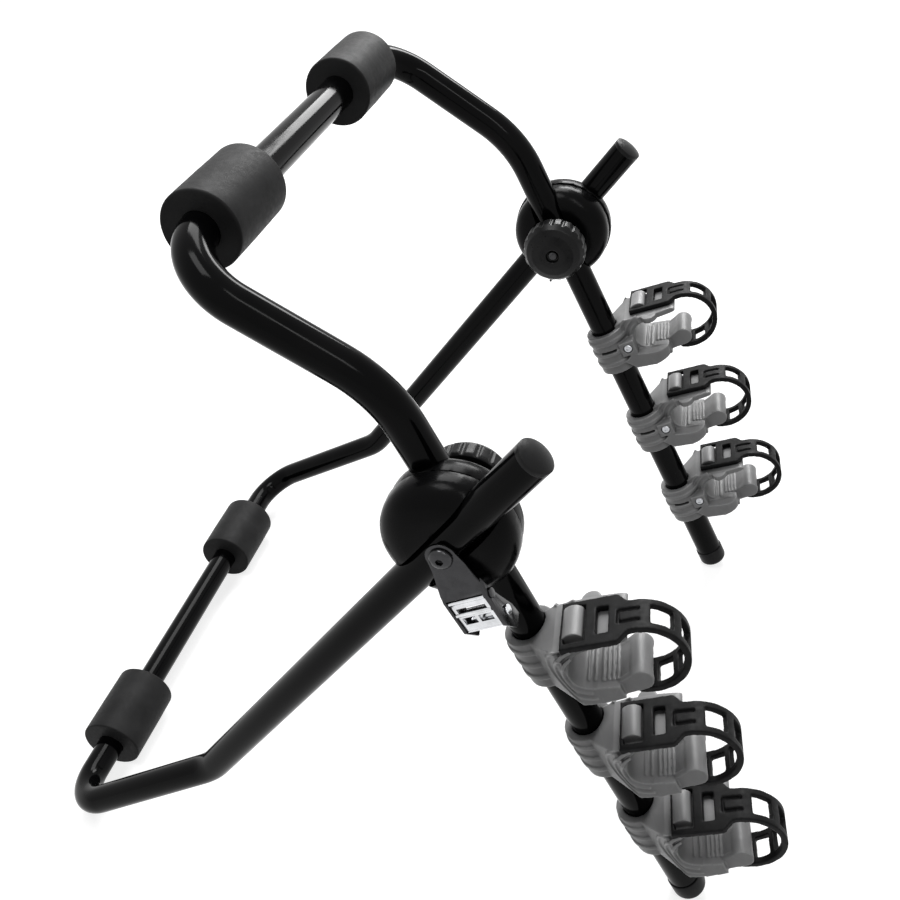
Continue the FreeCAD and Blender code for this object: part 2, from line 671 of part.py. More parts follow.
def ladder_strap():
    """A rubber strap: a wide head on the hook, a ladder loop, and an eye on the jaw's pin."""
    half_t = strap_thickness / 2
    middle = hook_inset + hook_length / 2 - 0.5
    half_head = strap_head_width / 2
    half_tail = strap_tail_width / 2
    outer = strap_band(half_t)
    inner = strap_band(-half_t)
    start = outer[0].Vertexes[0].Point
    start_in = inner[0].Vertexes[0].Point
    end = outer[1].valueAt(outer[1].LastParameter)
    end_in = inner[1].valueAt(inner[1].LastParameter)
    closing = [Part.LineSegment(end, end_in).toShape(), Part.LineSegment(start_in, start).toShape()]
    wire = Part.Wire(Part.__sortEdges__(outer + inner + closing))
    strap = Part.Face(wire)
    strap.translate(point(0, middle - half_head, 0))
    strap = strap.extrude(point(0, strap_head_width, 0))
    bar_start = point(strap_head_along, middle - half_head, strap_head_start)
    end_bar = rod(bar_start, Y_AXIS, strap_bar_d, strap_head_width)
    shoulder = strap_loop_height - 6
    beyond = strap_loop_height + 2 * strap_loop_r
    left_of = strap_loop_along - 2 * strap_loop_r
    for side in (-1, 1):
        out = middle + side * (half_head + 1)
        wedge = [
            point(left_of, out, shoulder),
            point(left_of, middle + side * half_head, shoulder),
            point(left_of, middle + side * half_tail, shoulder + 12),
            point(left_of, middle + side * half_tail, beyond),
            point(left_of, out, beyond),
        ]
        wedge_face = Part.Face(Part.makePolygon(wedge + wedge[:1]))
        strap = strap.cut(wedge_face.extrude(point(2 * strap_loop_r, 0, 0)))
        edge = sorted((middle + side * half_tail, out))
        strap = strap.cut(block(strap_loop_along - 1, strap_loop_along + 2 * strap_loop_r,
                                edge[0], edge[1], 0, beyond))
    eye_r = anchor_pin_d / 2 + strap_eye_clearance + strap_eye_wall
    eye_start = point(knuckle_along, middle - half_tail, knuckle_height)
    eye = rod(eye_start, Y_AXIS, 2 * eye_r, strap_tail_width)
    tail = [
        (end.x, end.z),
        (end_in.x, end_in.z),
        (knuckle_along + eye_r * 0.5, knuckle_height + eye_r * 0.6),
        (knuckle_along + eye_r * 0.9, knuckle_height - eye_r * 0.44),
    ]
    tail_slab = slab(polygon_edges(tail), middle - half_tail, middle + half_tail)
    strap = strap.fuse([eye, tail_slab])
    pin_start = point(knuckle_along, 0, knuckle_height)
    pin_hole = rod(pin_start, Y_AXIS, anchor_pin_d + 2 * strap_eye_clearance, cradle_outer)
    slot_z1 = hook_height + hook_d / 2 + 1.5
    hook_slot = block(hook_along - hook_d, hook_along + hook_d / 2, hook_inset - 1.0,
                      hook_inset + hook_length + 1.0, strap_head_start - hook_d / 2, slot_z1)
    window_z = slot_z1 + strap_window_gap
    window = block(hook_along - hook_d, hook_along + hook_d, middle - strap_window_width / 2,
                   middle + strap_window_width / 2, window_z, window_z + strap_window_length)
    cuts = [pin_hole, hook_slot, window]
    pitch = math.degrees((strap_window + strap_rung) / strap_loop_r)
    for k in range(strap_ladder):
        opening = strap_tail_width - 2 * strap_rail
        cuts.append(ladder_cutter(7 + k * pitch * 0.93, strap_window, opening, middle))
    for side in (-1, 1):
        groove_y = middle + side * 5.5
        loop = point(strap_loop_along, groove_y - 1, strap_loop_height)
        ring = rod(loop, Y_AXIS, 2 * (strap_loop_r + half_t + 1), 2).cut(
            rod(loop, Y_AXIS, 2 * (strap_loop_r + half_t - groove_depth), 2))
        fan = [(strap_loop_along, strap_loop_height)]
        for degrees in (142, 155, 168):
            angle = math.radians(degrees)
            fan.append((strap_loop_along + 60 * math.cos(angle), strap_loop_height + 60 * math.sin(angle)))
        cuts.append(ring.common(slab(polygon_edges(fan), groove_y - 1, groove_y + 1)))
    return strap.cut(cuts).fuse(end_bar)


def on_arm(shape, along, lean):
    """A cradle piece placed on the right arm, leaning outwards by some degrees."""
    placed = turned(shape, ORIGIN, X_AXIS, -lean)
    placed.translate(point(along, arm_half_width, 0))
    return placed


def single(shape):
    """A result of cuts and unions as one solid, or a compound of its separate solids."""
    solids = shape.Solids
    return solids[0] if len(solids) == 1 else Part.makeCompound(solids)


def foot_height(pitch):
    """Height of the pads' lowest line over the arm ends' lowest point, at a pitch in degrees."""
    up_x = -math.sin(math.radians(pitch))
    up_z = math.cos(math.radians(pitch))
    pad = foot_x * up_x + foot_z * up_z - lower_foam_d / 2
    tip = (tip_x - plug_edge_r) * up_x - (plug_d / 2 - plug_edge_r) * abs(up_z) - plug_edge_r
    return pad - tip


def standing_pitch():
    """The pitch at which the lower pads and the arm ends touch the floor together."""
    low = 45.0
    high = 90.0
    for _ in range(50):
        middle = (low + high) / 2
        if foot_height(low) * foot_height(middle) <= 0:
            high = middle
        else:
            low = middle
    return (low + high) / 2


def build_arm_frame():
    """Every piece in the arm frame, by name."""
    parts = {"main_frame": main_frame(), "lower_frame": lower_frame()}

    def pair(name, shape):
        parts["left_" + name] = mirrored(shape)
        parts["right_" + name] = shape

    pair("upper_foam_pad", foam_pad(-hoop_back, -hoop_drop, upper_foam_centre,
                                    upper_foam_length, upper_foam_d, tube_d))
    pair("lower_foam_pad", foam_pad(foot_x, foot_z, lower_foam_centre,
                                    lower_foam_length, lower_foam_d, lower_tube_d))
    pair("arm_plug", arm_plug())
    pair("tail_cap", tail_cap())
    pair("hub_inner_shell", hub_shell(inner_face_y, -1, shell_d / 2 - shell_step,
                                      arm_half_width, tube_d, 0))
    pair("hub_outer_shell", hub_shell(outer_face_y, 1, shell_d / 2,
                                      leg_half_width, lower_tube_d, leg_angle))
    pair("hub_spacer", saddle_spacer())
    pair("pivot_bolt", pivot_bolt())
    pair("knob", hand_knob())
    pair("knob_nut", knob_nut())

    buckle = {
        "buckle_bracket": buckle_bracket(),
        "buckle_web_bar": buckle_pin(web_bar_at, web_bar_d),
        "buckle_cam_pin": buckle_pin(cam_pin_at, cam_pin_d),
        "buckle_cam_lever": cam_lever(),
    }
    for name, shape in buckle.items():
        parts["left_" + name] = mirrored(turned(shape, ORIGIN, Y_AXIS, left_buckle_swing))
        parts["right_" + name] = turned(shape, ORIGIN, Y_AXIS, right_buckle_swing)

    holder = {"cradle": cradle(), "cradle_screw": cradle_screw(), "strap": ladder_strap()}
    for name, shape in holder.items():
        for number, along in enumerate((cradle_1_at, cradle_2_at, cradle_3_at), 1):
            parts["left_%s_%d" % (name, number)] = mirrored(on_arm(shape, along, left_lean))
            parts["right_%s_%d" % (name, number)] = on_arm(shape, along, right_lean)
    return parts


def stand_up(parts):
    """Stand the carrier on its pads and arm ends, over the middle of its own footprint."""
    pitch = standing_pitch()
    box = FreeCAD.BoundBox()
    stood = {}
    for name, shape in parts.items():
        stood[name] = turned(single(shape), ORIGIN, Y_AXIS, pitch)
        box.add(stood[name].optimalBoundingBox(False))
    shift = point(-box.Center.x, -box.Center.y, -box.ZMin)
    for shape in stood.values():
        shape.translate(shift)
    return stood, pitch, shift


os.makedirs("parts", exist_ok=True)
carrier, pitch, hub_at = stand_up(build_arm_frame())
for name, shape in carrier.items():
    if not shape.isValid():
        print("not valid:", name)
    shape.exportStep("parts/%s.step" % name)
print("pieces", len(carrier), "pitch", round(pitch, 3), "hub", [round(v, 3) for v in hub_at])
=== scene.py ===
"""Looks of a boot-mounted bike carrier: glossy bent tubes, foam pads, toothed hubs and grey cradles.

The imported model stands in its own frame, with the arms' tips towards +X and the left side
towards -Y. Each sub-assembly below dresses its own nodes, or stands for them with a finer mesh.
"""
from __future__ import annotations

import json
import logging
import math
from dataclasses import dataclass, field
from enum import Enum
from typing import Iterable, Sequence

import bmesh
import bpy
from mathutils import Matrix, Vector, noise

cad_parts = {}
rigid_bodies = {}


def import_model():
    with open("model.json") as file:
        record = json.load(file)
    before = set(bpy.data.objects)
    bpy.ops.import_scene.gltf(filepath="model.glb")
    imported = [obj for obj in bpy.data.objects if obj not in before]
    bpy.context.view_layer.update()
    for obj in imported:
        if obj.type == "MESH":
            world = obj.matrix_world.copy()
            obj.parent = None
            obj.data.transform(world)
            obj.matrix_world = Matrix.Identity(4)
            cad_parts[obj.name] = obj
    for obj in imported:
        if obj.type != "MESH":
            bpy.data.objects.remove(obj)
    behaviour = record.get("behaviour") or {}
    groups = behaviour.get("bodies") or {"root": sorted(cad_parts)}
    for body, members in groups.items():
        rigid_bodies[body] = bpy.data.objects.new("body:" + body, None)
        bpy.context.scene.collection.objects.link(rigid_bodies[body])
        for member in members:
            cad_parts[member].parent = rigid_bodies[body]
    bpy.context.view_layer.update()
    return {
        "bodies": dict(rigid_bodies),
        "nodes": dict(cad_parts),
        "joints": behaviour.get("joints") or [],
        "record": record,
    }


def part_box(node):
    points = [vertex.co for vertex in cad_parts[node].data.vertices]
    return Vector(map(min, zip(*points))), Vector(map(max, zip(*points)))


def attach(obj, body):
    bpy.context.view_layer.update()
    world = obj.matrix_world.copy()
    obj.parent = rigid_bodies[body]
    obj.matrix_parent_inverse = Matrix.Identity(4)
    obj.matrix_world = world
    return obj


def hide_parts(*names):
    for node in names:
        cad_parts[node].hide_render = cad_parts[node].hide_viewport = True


LOG = logging.getLogger("bike_carrier")
MM = 0.001
WELD_DISTANCE = 0.00001
FLAT_ANGLE = math.radians(1.0)
BEVEL_ANGLE = math.radians(32.0)
BEVEL_STEPS = 2
FINE_BUMP = 0.0002

Socket = bpy.types.NodeSocket
Material = bpy.types.Material
Mesh = bpy.types.Mesh
Piece = bpy.types.Object
Pair = tuple[float, float]
Triple = tuple[float, float, float]


class Side(Enum):
    """The two sides of the carrier, with the sign of Y on each."""

    LEFT = -1
    RIGHT = 1

    @property
    def word(self) -> str:
        """The side's name as the nodes carry it."""
        return self.name.lower()


@dataclass(frozen=True)
class ArmFrame:
    """The frame that the carrier was drawn in: X along the arms, Y the hinge, Z square to both."""

    hub: Triple
    pitch: float = 68.17
    half_width: float = 214.5

    @classmethod
    def of(cls, record: dict) -> ArmFrame:
        """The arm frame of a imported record, from its fold hinge."""
        fold = next(j for j in record["behaviour"]["joints"] if j["name"] == "frame_fold")
        x, _, z = fold["pos_m"]
        return cls((x / MM, 0.0, z / MM))

    def matrix(self) -> Matrix:
        """The matrix from the arm frame in millimetres to the standing frame in metres."""
        stand = Matrix.Translation(Vector(self.hub)) @ Matrix.Rotation(math.radians(self.pitch), 4, "Y")
        return Matrix.Scale(MM, 4) @ stand

    def point(self, x: float, y: float, z: float) -> Vector:
        """A point of the arm frame, in the standing frame."""
        return self.matrix() @ Vector((x, y, z))

    def on_arm(self, side: Side, along: float, lean: float) -> Matrix:
        """The matrix from a cradle's own frame to the standing frame.

        Args:
            side: The arm that carries the cradle.
            along: Where the cradle's collar starts along the arm, in millimetres.
            lean: How far the cradle leans outwards, in degrees.

        Returns:
            A matrix that takes (along, outwards, up) in millimetres to metres.
        """
        mirror = Matrix.Diagonal((1, side.value, 1, 1))
        place = Matrix.Translation(Vector((along, self.half_width, 0)))
        return self.matrix() @ mirror @ place @ Matrix.Rotation(math.radians(-lean), 4, "X")

    def on_buckle(self, side: Side, swing: float) -> Matrix:
        """The matrix from a buckle's own frame to the standing frame."""
        mirror = Matrix.Diagonal((1, side.value, 1, 1))
        return self.matrix() @ mirror @ Matrix.Rotation(math.radians(swing), 4, "Y")


def larger(tree: bpy.types.NodeTree, first: Socket, second: Socket) -> Socket:
    """The larger of two values."""
    node = tree.nodes.new("ShaderNodeMath")
    node.operation = "MAXIMUM"
    tree.links.new(first, node.inputs[0])
    tree.links.new(second, node.inputs[1])
    return node.outputs[0]


def mapped(tree: bpy.types.NodeTree, value: Socket, span: Pair, out: Pair) -> Socket:
    """A value mapped from one span to another."""
    node = tree.nodes.new("ShaderNodeMapRange")
    for key, number in zip(("From Min", "From Max", "To Min", "To Max"), (*span, *out)):
        node.inputs[key].default_value = number
    tree.links.new(value, node.inputs["Value"])
    return node.outputs["Result"]


@dataclass(frozen=True)
class Pattern:
    """A noise pattern: features in a metre, octaves, and the span of its values that counts."""

    scale: float
    detail: float
    span: Pair = (0.3, 0.7)


class Shader:
    """A small builder for one node material."""

    hollow_samples = 8
    hollow_span = (0.35, 0.95)

    def __init__(self, name: str) -> None:
        """Start a material with one principled shader and object coordinates."""
        self.material = bpy.data.materials.new(name)
        self.material.use_nodes = True
        self.tree = self.material.node_tree
        self.surface = self.tree.nodes["Principled BSDF"]
        self.coordinates = self.tree.nodes.new("ShaderNodeTexCoord").outputs["Object"]

    def set(self, **values: float | tuple[float, ...]) -> None:
        """Set inputs of the principled shader by name, with underscores for spaces."""
        for key, value in values.items():
            self.surface.inputs[key.replace("_", " ")].default_value = value

    def noise(self, scale: float, detail: float = 3.0, stretch: Sequence[float] = (1, 1, 1)) -> Socket:
        """A noise pattern with so many features to the metre.

        Args:
            scale: Features in a metre.
            detail: Octaves of finer noise.
            stretch: Factors on the scale along X, Y and Z.

        Returns:
            The pattern's value, around 0.5.
        """
        mapping = self.tree.nodes.new("ShaderNodeMapping")
        mapping.inputs["Scale"].default_value = stretch
        pattern = self.tree.nodes.new("ShaderNodeTexNoise")
        pattern.inputs["Scale"].default_value = scale
        pattern.inputs["Detail"].default_value = detail
        self.tree.links.new(self.coordinates, mapping.inputs["Vector"])
        self.tree.links.new(mapping.outputs["Vector"], pattern.inputs["Vector"])
        return pattern.outputs["Fac"]

    def cells(self, scale: float) -> Socket:
        """The distance to the nearest cell's middle in a cell pattern."""
        pattern = self.tree.nodes.new("ShaderNodeTexVoronoi")
        pattern.inputs["Scale"].default_value = scale
        self.tree.links.new(self.coordinates, pattern.inputs["Vector"])
        return pattern.outputs["Distance"]

    def ramp(self, value: Socket, span: Pair, out: Pair = (0.0, 1.0)) -> Socket:
        """A value mapped from a span to another, or to 0 and 1."""
        return mapped(self.tree, value, span, out)

    def blend(self, value: Socket, first: Sequence[float], second: Sequence[float]) -> Socket:
        """A colour between two, by a value from 0 to 1."""
        node = self.tree.nodes.new("ShaderNodeMix")
        node.data_type = "RGBA"
        node.inputs["A"].default_value = (*first, 1.0)
        node.inputs["B"].default_value = (*second, 1.0)
        self.tree.links.new(value, node.inputs["Factor"])
        return node.outputs["Result"]

    def shaded(self, colour: Socket, reach: float, depth: float) -> Socket:
        """Darken a colour in the hollows, as painted shade from ambient occlusion.

        Args:
            colour: The colour to darken.
            reach: How near the walls of a hollow lie, in metres.
            depth: The share of the colour that is left in a deep hollow.

        Returns:
            The darkened colour.
        """
        # Painted shade: the colour darkens where walls lie near, as if less light reached there.
        hollow = self.tree.nodes.new("ShaderNodeAmbientOcclusion")
        hollow.samples = self.hollow_samples
        hollow.inputs["Distance"].default_value = reach
        share = self.ramp(hollow.outputs["AO"], self.hollow_span, (depth, 1.0))
        node = self.tree.nodes.new("ShaderNodeVectorMath")
        node.operation = "SCALE"
        self.tree.links.new(colour, node.inputs[0])
        self.tree.links.new(share, node.inputs["Scale"])
        return node.outputs["Vector"]

    def edges(self) -> Socket:
        """How far a surface point stands out, from the mesh's own pointiness."""
        return self.tree.nodes.new("ShaderNodeNewGeometry").outputs["Pointiness"]

    def bump(self, height: Socket, strength: float, distance: float = FINE_BUMP) -> None:
        """Add a bump under whatever bumps there are.

        Args:
            height: The height pattern.
            strength: From 0 to 1.
            distance: The bump's depth in metres.
        """
        node = self.tree.nodes.new("ShaderNodeBump")
        node.inputs["Strength"].default_value = strength
        node.inputs["Distance"].default_value = distance
        self.tree.links.new(height, node.inputs["Height"])
        socket = self.surface.inputs["Normal"]
        if socket.is_linked:
            self.tree.links.new(socket.links[0].from_socket, node.inputs["Normal"])
        self.tree.links.new(node.outputs["Normal"], socket)

    def link(self, value: Socket, key: str) -> None:
        """Feed a pattern into an input of the principled shader."""
        self.tree.links.new(value, self.surface.inputs[key])

    def tint(self, clouds: Pattern, first: Triple, second: Triple) -> None:
        """Colour the surface with clouds of a second colour over the first."""
        self.link(self.blend(self.pattern(clouds), first, second), "Base Color")

    def polish(self, smears: Pattern, roughness: Pair) -> None:
        """Spread the roughness over a span by a pattern of smears."""
        self.link(self.pattern(smears, roughness), "Roughness")

    def pattern(self, wanted: Pattern, out: Pair = (0.0, 1.0)) -> Socket:
        """A noise pattern mapped from its span to another."""
        return self.ramp(self.noise(wanted.scale, wanted.detail), wanted.span, out)


@dataclass(frozen=True)
class TubePaint:
    """Gloss black paint baked on steel tube, with a faint orange peel."""

    colour: Triple = (0.0016, 0.0016, 0.0018)
    worn: Triple = (0.0034, 0.0034, 0.0036)
    roughness: Pair = (0.08, 0.16)
    gloss: float = 0.06
    clouds: Pattern = Pattern(22.0, 4.0, (0.45, 0.7))
    smears: Pattern = Pattern(60.0, 5.0, (0.35, 0.7))
    peel: float = 420.0
    peel_depth: float = 0.06

    def build(self) -> Material:
        """Make the material."""
        shader = Shader("tube_paint")
        shader.set(IOR=1.5, Specular_IOR_Level=self.gloss)
        shader.tint(self.clouds, self.colour, self.worn)
        shader.polish(self.smears, self.roughness)
        shader.bump(shader.noise(self.peel, 2.0), self.peel_depth)
        return shader.material


@dataclass(frozen=True)
class ClosedCellFoam:
    """Matt black foam with fine pores and a faint cut grain."""

    colour: Triple = (0.013, 0.013, 0.0133)
    dusty: Triple = (0.024, 0.024, 0.0244)
    roughness: Pair = (0.46, 0.58)
    gloss: float = 0.09
    sheen: Pair = (0.01, 0.6)
    patches: Pattern = Pattern(35.0, 6.0, (0.35, 0.7))
    smears: Pattern = Pattern(240.0, 4.0)
    pores: float = 1300.0
    pore_depth: Pair = (0.22, 0.00025)
    grain: float = 2200.0
    grain_depth: Pair = (0.2, 0.00015)

    def build(self) -> Material:
        """Make the material."""
        shader = Shader("closed_cell_foam")
        weight, roughness = self.sheen
        shader.set(IOR=1.45, Specular_IOR_Level=self.gloss, Sheen_Weight=weight, Sheen_Roughness=roughness)
        shader.tint(self.patches, self.colour, self.dusty)
        shader.polish(self.smears, self.roughness)
        shader.bump(shader.cells(self.pores), *self.pore_depth)
        shader.bump(shader.noise(self.grain), *self.grain_depth)
        return shader.material


@dataclass(frozen=True)
class MouldedPlastic:
    """Injection-moulded plastic with a fine spark texture, paler edges as painted highlight, and painted
    shade in hollows.
    """

    name: str
    colour: Triple
    edge: Triple
    roughness: Pair = (0.42, 0.56)
    grain: float = 0.18
    gloss: float = 0.5
    reach: float = 0.009
    depth: float = 0.35
    mottle: Pattern = Pattern(60.0, 6.0, (0.3, 0.75))
    mottle_share: float = 0.35
    worn_span: Pair = (0.49, 0.56)
    smears: Pattern = Pattern(300.0, 4.0)
    sparks: float = 2600.0

    def build(self) -> Material:
        """Make the material."""
        shader = Shader(self.name)
        shader.set(IOR=1.48, Specular_IOR_Level=self.gloss)
        mottle = shader.pattern(self.mottle, (0, self.mottle_share))
        # Painted highlight: the colour turns paler where the mesh's edges stand out, mixed with the random
        # mottle.
        worn = shader.ramp(shader.edges(), self.worn_span)
        light = shader.blend(larger(shader.tree, mottle, worn), self.colour, self.edge)
        # Painted shade in the hollows, by ambient occlusion on the colour.
        shader.link(shader.shaded(light, self.reach, self.depth), "Base Color")
        shader.polish(self.smears, self.roughness)
        shader.bump(shader.noise(self.sparks, 2.0), self.grain)
        return shader.material


@dataclass(frozen=True)
class StrapRubber:
    """Black moulded rubber with a soft bloom."""

    colour: Triple = (0.0038, 0.0038, 0.004)
    bloom: Triple = (0.0085, 0.0085, 0.0088)
    roughness: Pair = (0.42, 0.6)
    gloss: float = 0.1
    clouds: Pattern = Pattern(90.0, 6.0, (0.4, 0.75))
    smears: Pattern = Pattern(220.0, 3.0)
    grain: float = 1800.0
    grain_depth: float = 0.2

    def build(self) -> Material:
        """Make the material."""
        shader = Shader("strap_rubber")
        shader.set(IOR=1.5, Specular_IOR_Level=self.gloss)
        shader.tint(self.clouds, self.colour, self.bloom)
        shader.polish(self.smears, self.roughness)
        shader.bump(shader.noise(self.grain), self.grain_depth)
        return shader.material


@dataclass(frozen=True)
class PlatedSteel:
    """Plated sheet or bar, from bright chrome to dull zinc."""

    name: str
    colour: Triple = (0.72, 0.73, 0.75)
    roughness: Pair = (0.1, 0.24)
    brush: float = 0.08
    dulled: float = 0.72
    stains: Pattern = Pattern(120.0, 6.0, (0.4, 0.8))
    smears: Pattern = Pattern(180.0, 5.0, (0.3, 0.75))
    strokes: float = 900.0
    along: Triple = (1.0, 0.12, 1.0)

    def build(self) -> Material:
        """Make the material."""
        shader = Shader(self.name)
        shader.set(Metallic=1.0)
        shader.tint(self.stains, self.colour, tuple(self.dulled * c for c in self.colour))
        shader.polish(self.smears, self.roughness)
        shader.bump(shader.noise(self.strokes, 2.0, self.along), self.brush)
        return shader.material


@dataclass
class Finishes:
    """Every finish of the carrier, built once."""

    paint: Material
    foam: Material
    hub: Material
    knob: Material
    cap: Material
    cradle: Material
    strap: Material
    chrome: Material
    steel: Material
    zinc: Material

    @classmethod
    def build(cls) -> Finishes:
        """Make all the materials."""
        hub = MouldedPlastic("hub_plastic", (0.0018, 0.0018, 0.002), (0.006, 0.006, 0.0063),
                             roughness=(0.16, 0.26), grain=0.08, gloss=0.055)
        knob = MouldedPlastic("knob_plastic", (0.0045, 0.0045, 0.0048), (0.012, 0.012, 0.0125),
                              roughness=(0.26, 0.38), grain=0.1, gloss=0.16)
        cap = MouldedPlastic("cap_plastic", (0.005, 0.005, 0.0053), (0.012, 0.012, 0.0125),
                             roughness=(0.28, 0.4), grain=0.1, gloss=0.14)
        cradle = MouldedPlastic("cradle_plastic", (0.2, 0.2, 0.202), (0.36, 0.36, 0.362),
                                roughness=(0.34, 0.46), grain=0.14, gloss=0.4)
        return cls(
            paint=TubePaint().build(),
            foam=ClosedCellFoam().build(),
            hub=hub.build(),
            knob=knob.build(),
            cap=cap.build(),
            cradle=cradle.build(),
            strap=StrapRubber().build(),
            chrome=PlatedSteel("bright_plating").build(),
            steel=PlatedSteel("dull_plating", (0.05, 0.05, 0.052), (0.2, 0.32), brush=0.12).build(),
            zinc=PlatedSteel("zinc_plating", (0.5, 0.51, 0.53), (0.25, 0.4), brush=0.12).build(),
        )


def dress(piece: Piece, material: Material) -> None:
    """Give a piece one material."""
    piece.data.materials.clear()
    piece.data.materials.append(material)


def bake(piece: Piece) -> None:
    """Apply a piece's modifiers to its mesh."""
    graph = bpy.context.evaluated_depsgraph_get()
    mesh = bpy.data.meshes.new_from_object(piece.evaluated_get(graph))
    old = piece.data
    piece.modifiers.clear()
    piece.data = mesh
    bpy.data.meshes.remove(old)
    mesh.name = piece.name


def smooth_shade(piece: Piece, degrees: float = 40.0) -> None:
    """Shade a piece smooth, but for edges sharper than an angle."""
    mesh = piece.data
    mesh.shade_smooth()
    mesh.set_sharp_from_angle(angle=math.radians(degrees))


def break_edges(piece: Piece, width: float) -> None:
    """Break a piece's sharp edges with a small bevel of a width in millimetres."""
    bevel = piece.modifiers.new("edges", "BEVEL")
    bevel.width = width * MM
    bevel.segments = BEVEL_STEPS
    bevel.limit_method = "ANGLE"
    bevel.angle_limit = BEVEL_ANGLE
    bake(piece)
    smooth_shade(piece)


def new_piece(name: str, data: bpy.types.ID) -> Piece:
    """Link a new object that holds a mesh, a lamp or a camera."""
    piece = bpy.data.objects.new(name, data)
    bpy.context.scene.collection.objects.link(piece)
    return piece


def mesh_from(name: str, points: Iterable[Sequence[float]], faces: Iterable[Sequence[int]]) -> Mesh:
    """A mesh from points and faces, with its faces turned outwards."""
    mesh = bpy.data.meshes.new(name)
    mesh.from_pydata([tuple(p) for p in points], [], [tuple(f) for f in faces])
    work = bmesh.new()
    work.from_mesh(mesh)
    bmesh.ops.recalc_face_normals(work, faces=work.faces)
    work.to_mesh(mesh)
    work.free()
    return mesh


def lathe(name: str, profile: Sequence[Pair], sides: int, place: Matrix) -> Mesh:
    """Turn a closed profile about the local Y axis.

    Args:
        name: The mesh's name.
        profile: Closed outline of (radius, y) in millimetres.
        sides: Steps round the axis.
        place: The matrix from local millimetres to metres.

    Returns:
        The turned mesh.
    """
    points = []
    for k in range(sides):
        angle = 2 * math.pi * k / sides
        for radius, y in profile:
            points.append(place @ Vector((radius * math.cos(angle), y, radius * math.sin(angle))))
    count = len(profile)
    faces = []
    for k in range(sides):
        for j in range(count):
            ring, after = k * count, ((k + 1) % sides) * count
            faces.append((ring + j, ring + (j + 1) % count, after + (j + 1) % count, after + j))
    return mesh_from(name, points, faces)


def block_mesh(name: str, low: Sequence[float], high: Sequence[float], place: Matrix) -> Mesh:
    """A box between two corners of a local frame in millimetres, placed in metres."""
    corners = []
    for x in (low[0], high[0]):
        for y in (low[1], high[1]):
            corners += [place @ Vector((x, y, z)) for z in (low[2], high[2])]
    faces = [(0, 1, 3, 2), (4, 6, 7, 5), (0, 4, 5, 1), (2, 3, 7, 6), (0, 2, 6, 4), (1, 5, 7, 3)]
    return mesh_from(name, corners, faces)


def swept(name: str, route: Sequence[Vector], radius: float, sides: int) -> Mesh:
    """A closed round bar along a route, with its section carried along without twist."""
    tangents = []
    for k in range(len(route)):
        before = route[max(k - 1, 0)]
        after = route[min(k + 1, len(route) - 1)]
        tangents.append((after - before).normalized())
    side = tangents[0].orthogonal().normalized()
    points = []
    for here, tangent in zip(route, tangents):
        side = (side - tangent * side.dot(tangent)).normalized()
        up = tangent.cross(side)
        for k in range(sides):
            angle = 2 * math.pi * k / sides
            points.append(here + side * (radius * math.cos(angle)) + up * (radius * math.sin(angle)))
    faces = [tuple(range(sides)), tuple(range(len(points) - sides, len(points)))]
    for ring in range(len(route) - 1):
        for k in range(sides):
            a, b = ring * sides + k, ring * sides + (k + 1) % sides
            faces.append((a, b, b + sides, a + sides))
    return mesh_from(name, points, faces)


def rounded_route(corners: Sequence[Vector], radii: Sequence[float], step: float) -> list[Vector]:
    """Points along straight runs joined by tangent arcs.

    Args:
        corners: The route's corner points.
        radii: The bend's radius at each inner corner.
        step: The angle between points on an arc, in degrees.

    Returns:
        The points from the first corner to the last.
    """
    route = [corners[0]]
    for before, corner, after, radius in zip(corners, corners[1:], corners[2:], radii):
        back = (before - corner).normalized()
        ahead = (after - corner).normalized()
        turn = math.pi - back.angle(ahead)
        centre = corner + (back + ahead).normalized() * (radius / math.cos(turn / 2))
        start = corner + back * (radius * math.tan(turn / 2))
        axis = back.cross(ahead).normalized()
        count = max(3, math.ceil(math.degrees(turn) / step))
        for k in range(count + 1):
            route.append(centre + Matrix.Rotation(-turn * k / count, 3, axis) @ (start - centre))
    route.append(corners[-1])
    return route


class Carrier:
    """What every sub-assembly needs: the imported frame, the arm frame and the finishes."""

    def __init__(self, frame: dict, finishes: Finishes) -> None:
        """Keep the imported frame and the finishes."""
        self.frame = frame
        self.finishes = finishes
        self.arm = ArmFrame.of(frame["record"])
        bodies = frame["record"]["behaviour"]["bodies"]
        self.owner = {node: body for body, nodes in bodies.items() for node in nodes}

    def copy_of(self, node: str, name: str) -> Piece:
        """A new object with a copy of a node's mesh."""
        return new_piece(name, self.frame["nodes"][node].data.copy())

    def stand_for(self, piece: Piece, node: str) -> None:
        """Let a piece ride on a node's body and stand for that node."""
        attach(piece, self.owner[node])
        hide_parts(node)
        LOG.info("%s stands for %s with %d faces", piece.name, node, len(piece.data.polygons))

    def keep(self, node: str, material: Material) -> None:
        """Keep a node's own mesh and give it a finish."""
        piece = self.frame["nodes"][node]
        dress(piece, material)
        LOG.info("%s keeps its own mesh", node)

    def bevelled(self, node: str, name: str, width: float, material: Material) -> None:
        """Stand for a node with a copy whose edges are broken by a small bevel.

        Args:
            node: The node to stand for.
            name: The new piece's name.
            width: The bevel's width in millimetres.
            material: The piece's finish.
        """
        piece = self.copy_of(node, name)
        work = bmesh.new()
        work.from_mesh(piece.data)
        bmesh.ops.remove_doubles(work, verts=work.verts, dist=WELD_DISTANCE)
        bmesh.ops.dissolve_limit(work, angle_limit=FLAT_ANGLE, verts=work.verts, edges=work.edges)
        work.to_mesh(piece.data)
        work.free()
        break_edges(piece, width)
        dress(piece, material)
        self.stand_for(piece, node)


